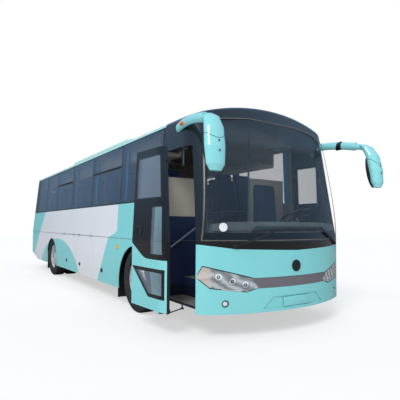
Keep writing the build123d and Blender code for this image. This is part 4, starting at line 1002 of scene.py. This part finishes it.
FLOOR_GLOW = 0.55
floor = primitive("plane", "studio_floor", size=80, location=(0, 0, 0))
floor_paint, tree, shader, coordinates, place = material("studio_floor_paint", 0.9)
rays = add(tree, "ShaderNodeLightPath")
cover(tree, shader, blend(tree, rays.outputs["Is Glossy Ray"], "#F4F4F4", "#6C6A66"))
bright = add(tree, "ShaderNodeEmission", {0: linear("#FFFFFF"), 1: 1.0})
seen = calc(tree, "MULTIPLY", rays.outputs["Is Camera Ray"], FLOOR_GLOW)
mixed = add(tree, "ShaderNodeMixShader", {0: seen, 1: shader.outputs[0], 2: bright.outputs[0]})
tree.links.new(mixed.outputs[0], tree.nodes["Material Output"].inputs[0])
floor.data.materials.append(floor_paint)

world = bpy.data.worlds.new("studio_light") if bpy.context.scene.world is None else bpy.context.scene.world
bpy.context.scene.world = world
world.use_nodes = True
tree = world.node_tree
tree.nodes.clear()
rays = add(tree, "ShaderNodeLightPath")
direction = add(tree, "ShaderNodeTexCoord").outputs["Generated"]
upward = add(tree, "ShaderNodeSeparateXYZ", {0: direction}).outputs[2]
SKY_TONES = ((0.12, "#6F8396"), (0.30, "#86A5C2"), (0.55, "#9DBFDE"))
sky_tone = colour_ramp(tree, upward, "#5B6874", "#8FB6DC", SKY_TONES)


def backdrop(colour, strength):
    """Even light of one colour from all round."""
    return add(tree, "ShaderNodeBackground", {0: colour, 1: strength}).outputs[0]


# Glossy surfaces mirror the toned sky, the rest is lit by a soft bluish one, and the camera sees white
around = add(tree, "ShaderNodeMixShader", {0: rays.outputs["Is Glossy Ray"],
                                           1: backdrop(linear("#F2F7FF"), 0.7), 2: backdrop(sky_tone, 1.0)})
mixed = add(tree, "ShaderNodeMixShader", {0: rays.outputs["Is Camera Ray"], 1: around.outputs[0],
                                          2: backdrop(linear("#FFFFFF"), 1.0)})
add(tree, "ShaderNodeOutputWorld", {0: mixed.outputs[0]})

sun = bpy.data.objects.new("soft_key", bpy.data.lights.new("soft_key", "SUN"))
sun.data.energy = 2.1
sun.data.angle = math.radians(22)
sun.rotation_euler = (math.radians(46), 0, math.radians(-58))
bpy.context.scene.collection.objects.link(sun)

camera = bpy.data.objects.new("camera", bpy.data.cameras.new("camera"))
camera.data.sensor_width = 36.0
camera.data.lens = 34.65
camera.data.shift_x = 0.0088
camera.data.shift_y = 0.025
camera.data.clip_end = 200
yaw, pitch, roll = 0.5858, 0.0397, -0.0069
ahead = Vector((math.sin(yaw) * math.cos(pitch), math.cos(yaw) * math.cos(pitch), math.sin(pitch)))
camera.location = (-3.661, -7.998, 1.295)
camera.rotation_mode = "QUATERNION"
across = Vector((math.cos(yaw), -math.sin(yaw), 0))
down = ahead.cross(across)
across, down = (math.cos(roll) * across + math.sin(roll) * down,
                math.cos(roll) * down - math.sin(roll) * across)
camera.rotation_quaternion = Matrix((across, -down, -ahead)).transposed().to_quaternion()
bpy.context.scene.collection.objects.link(camera)
bpy.context.scene.camera = camera
bpy.context.scene.view_settings.view_transform = "Standard"
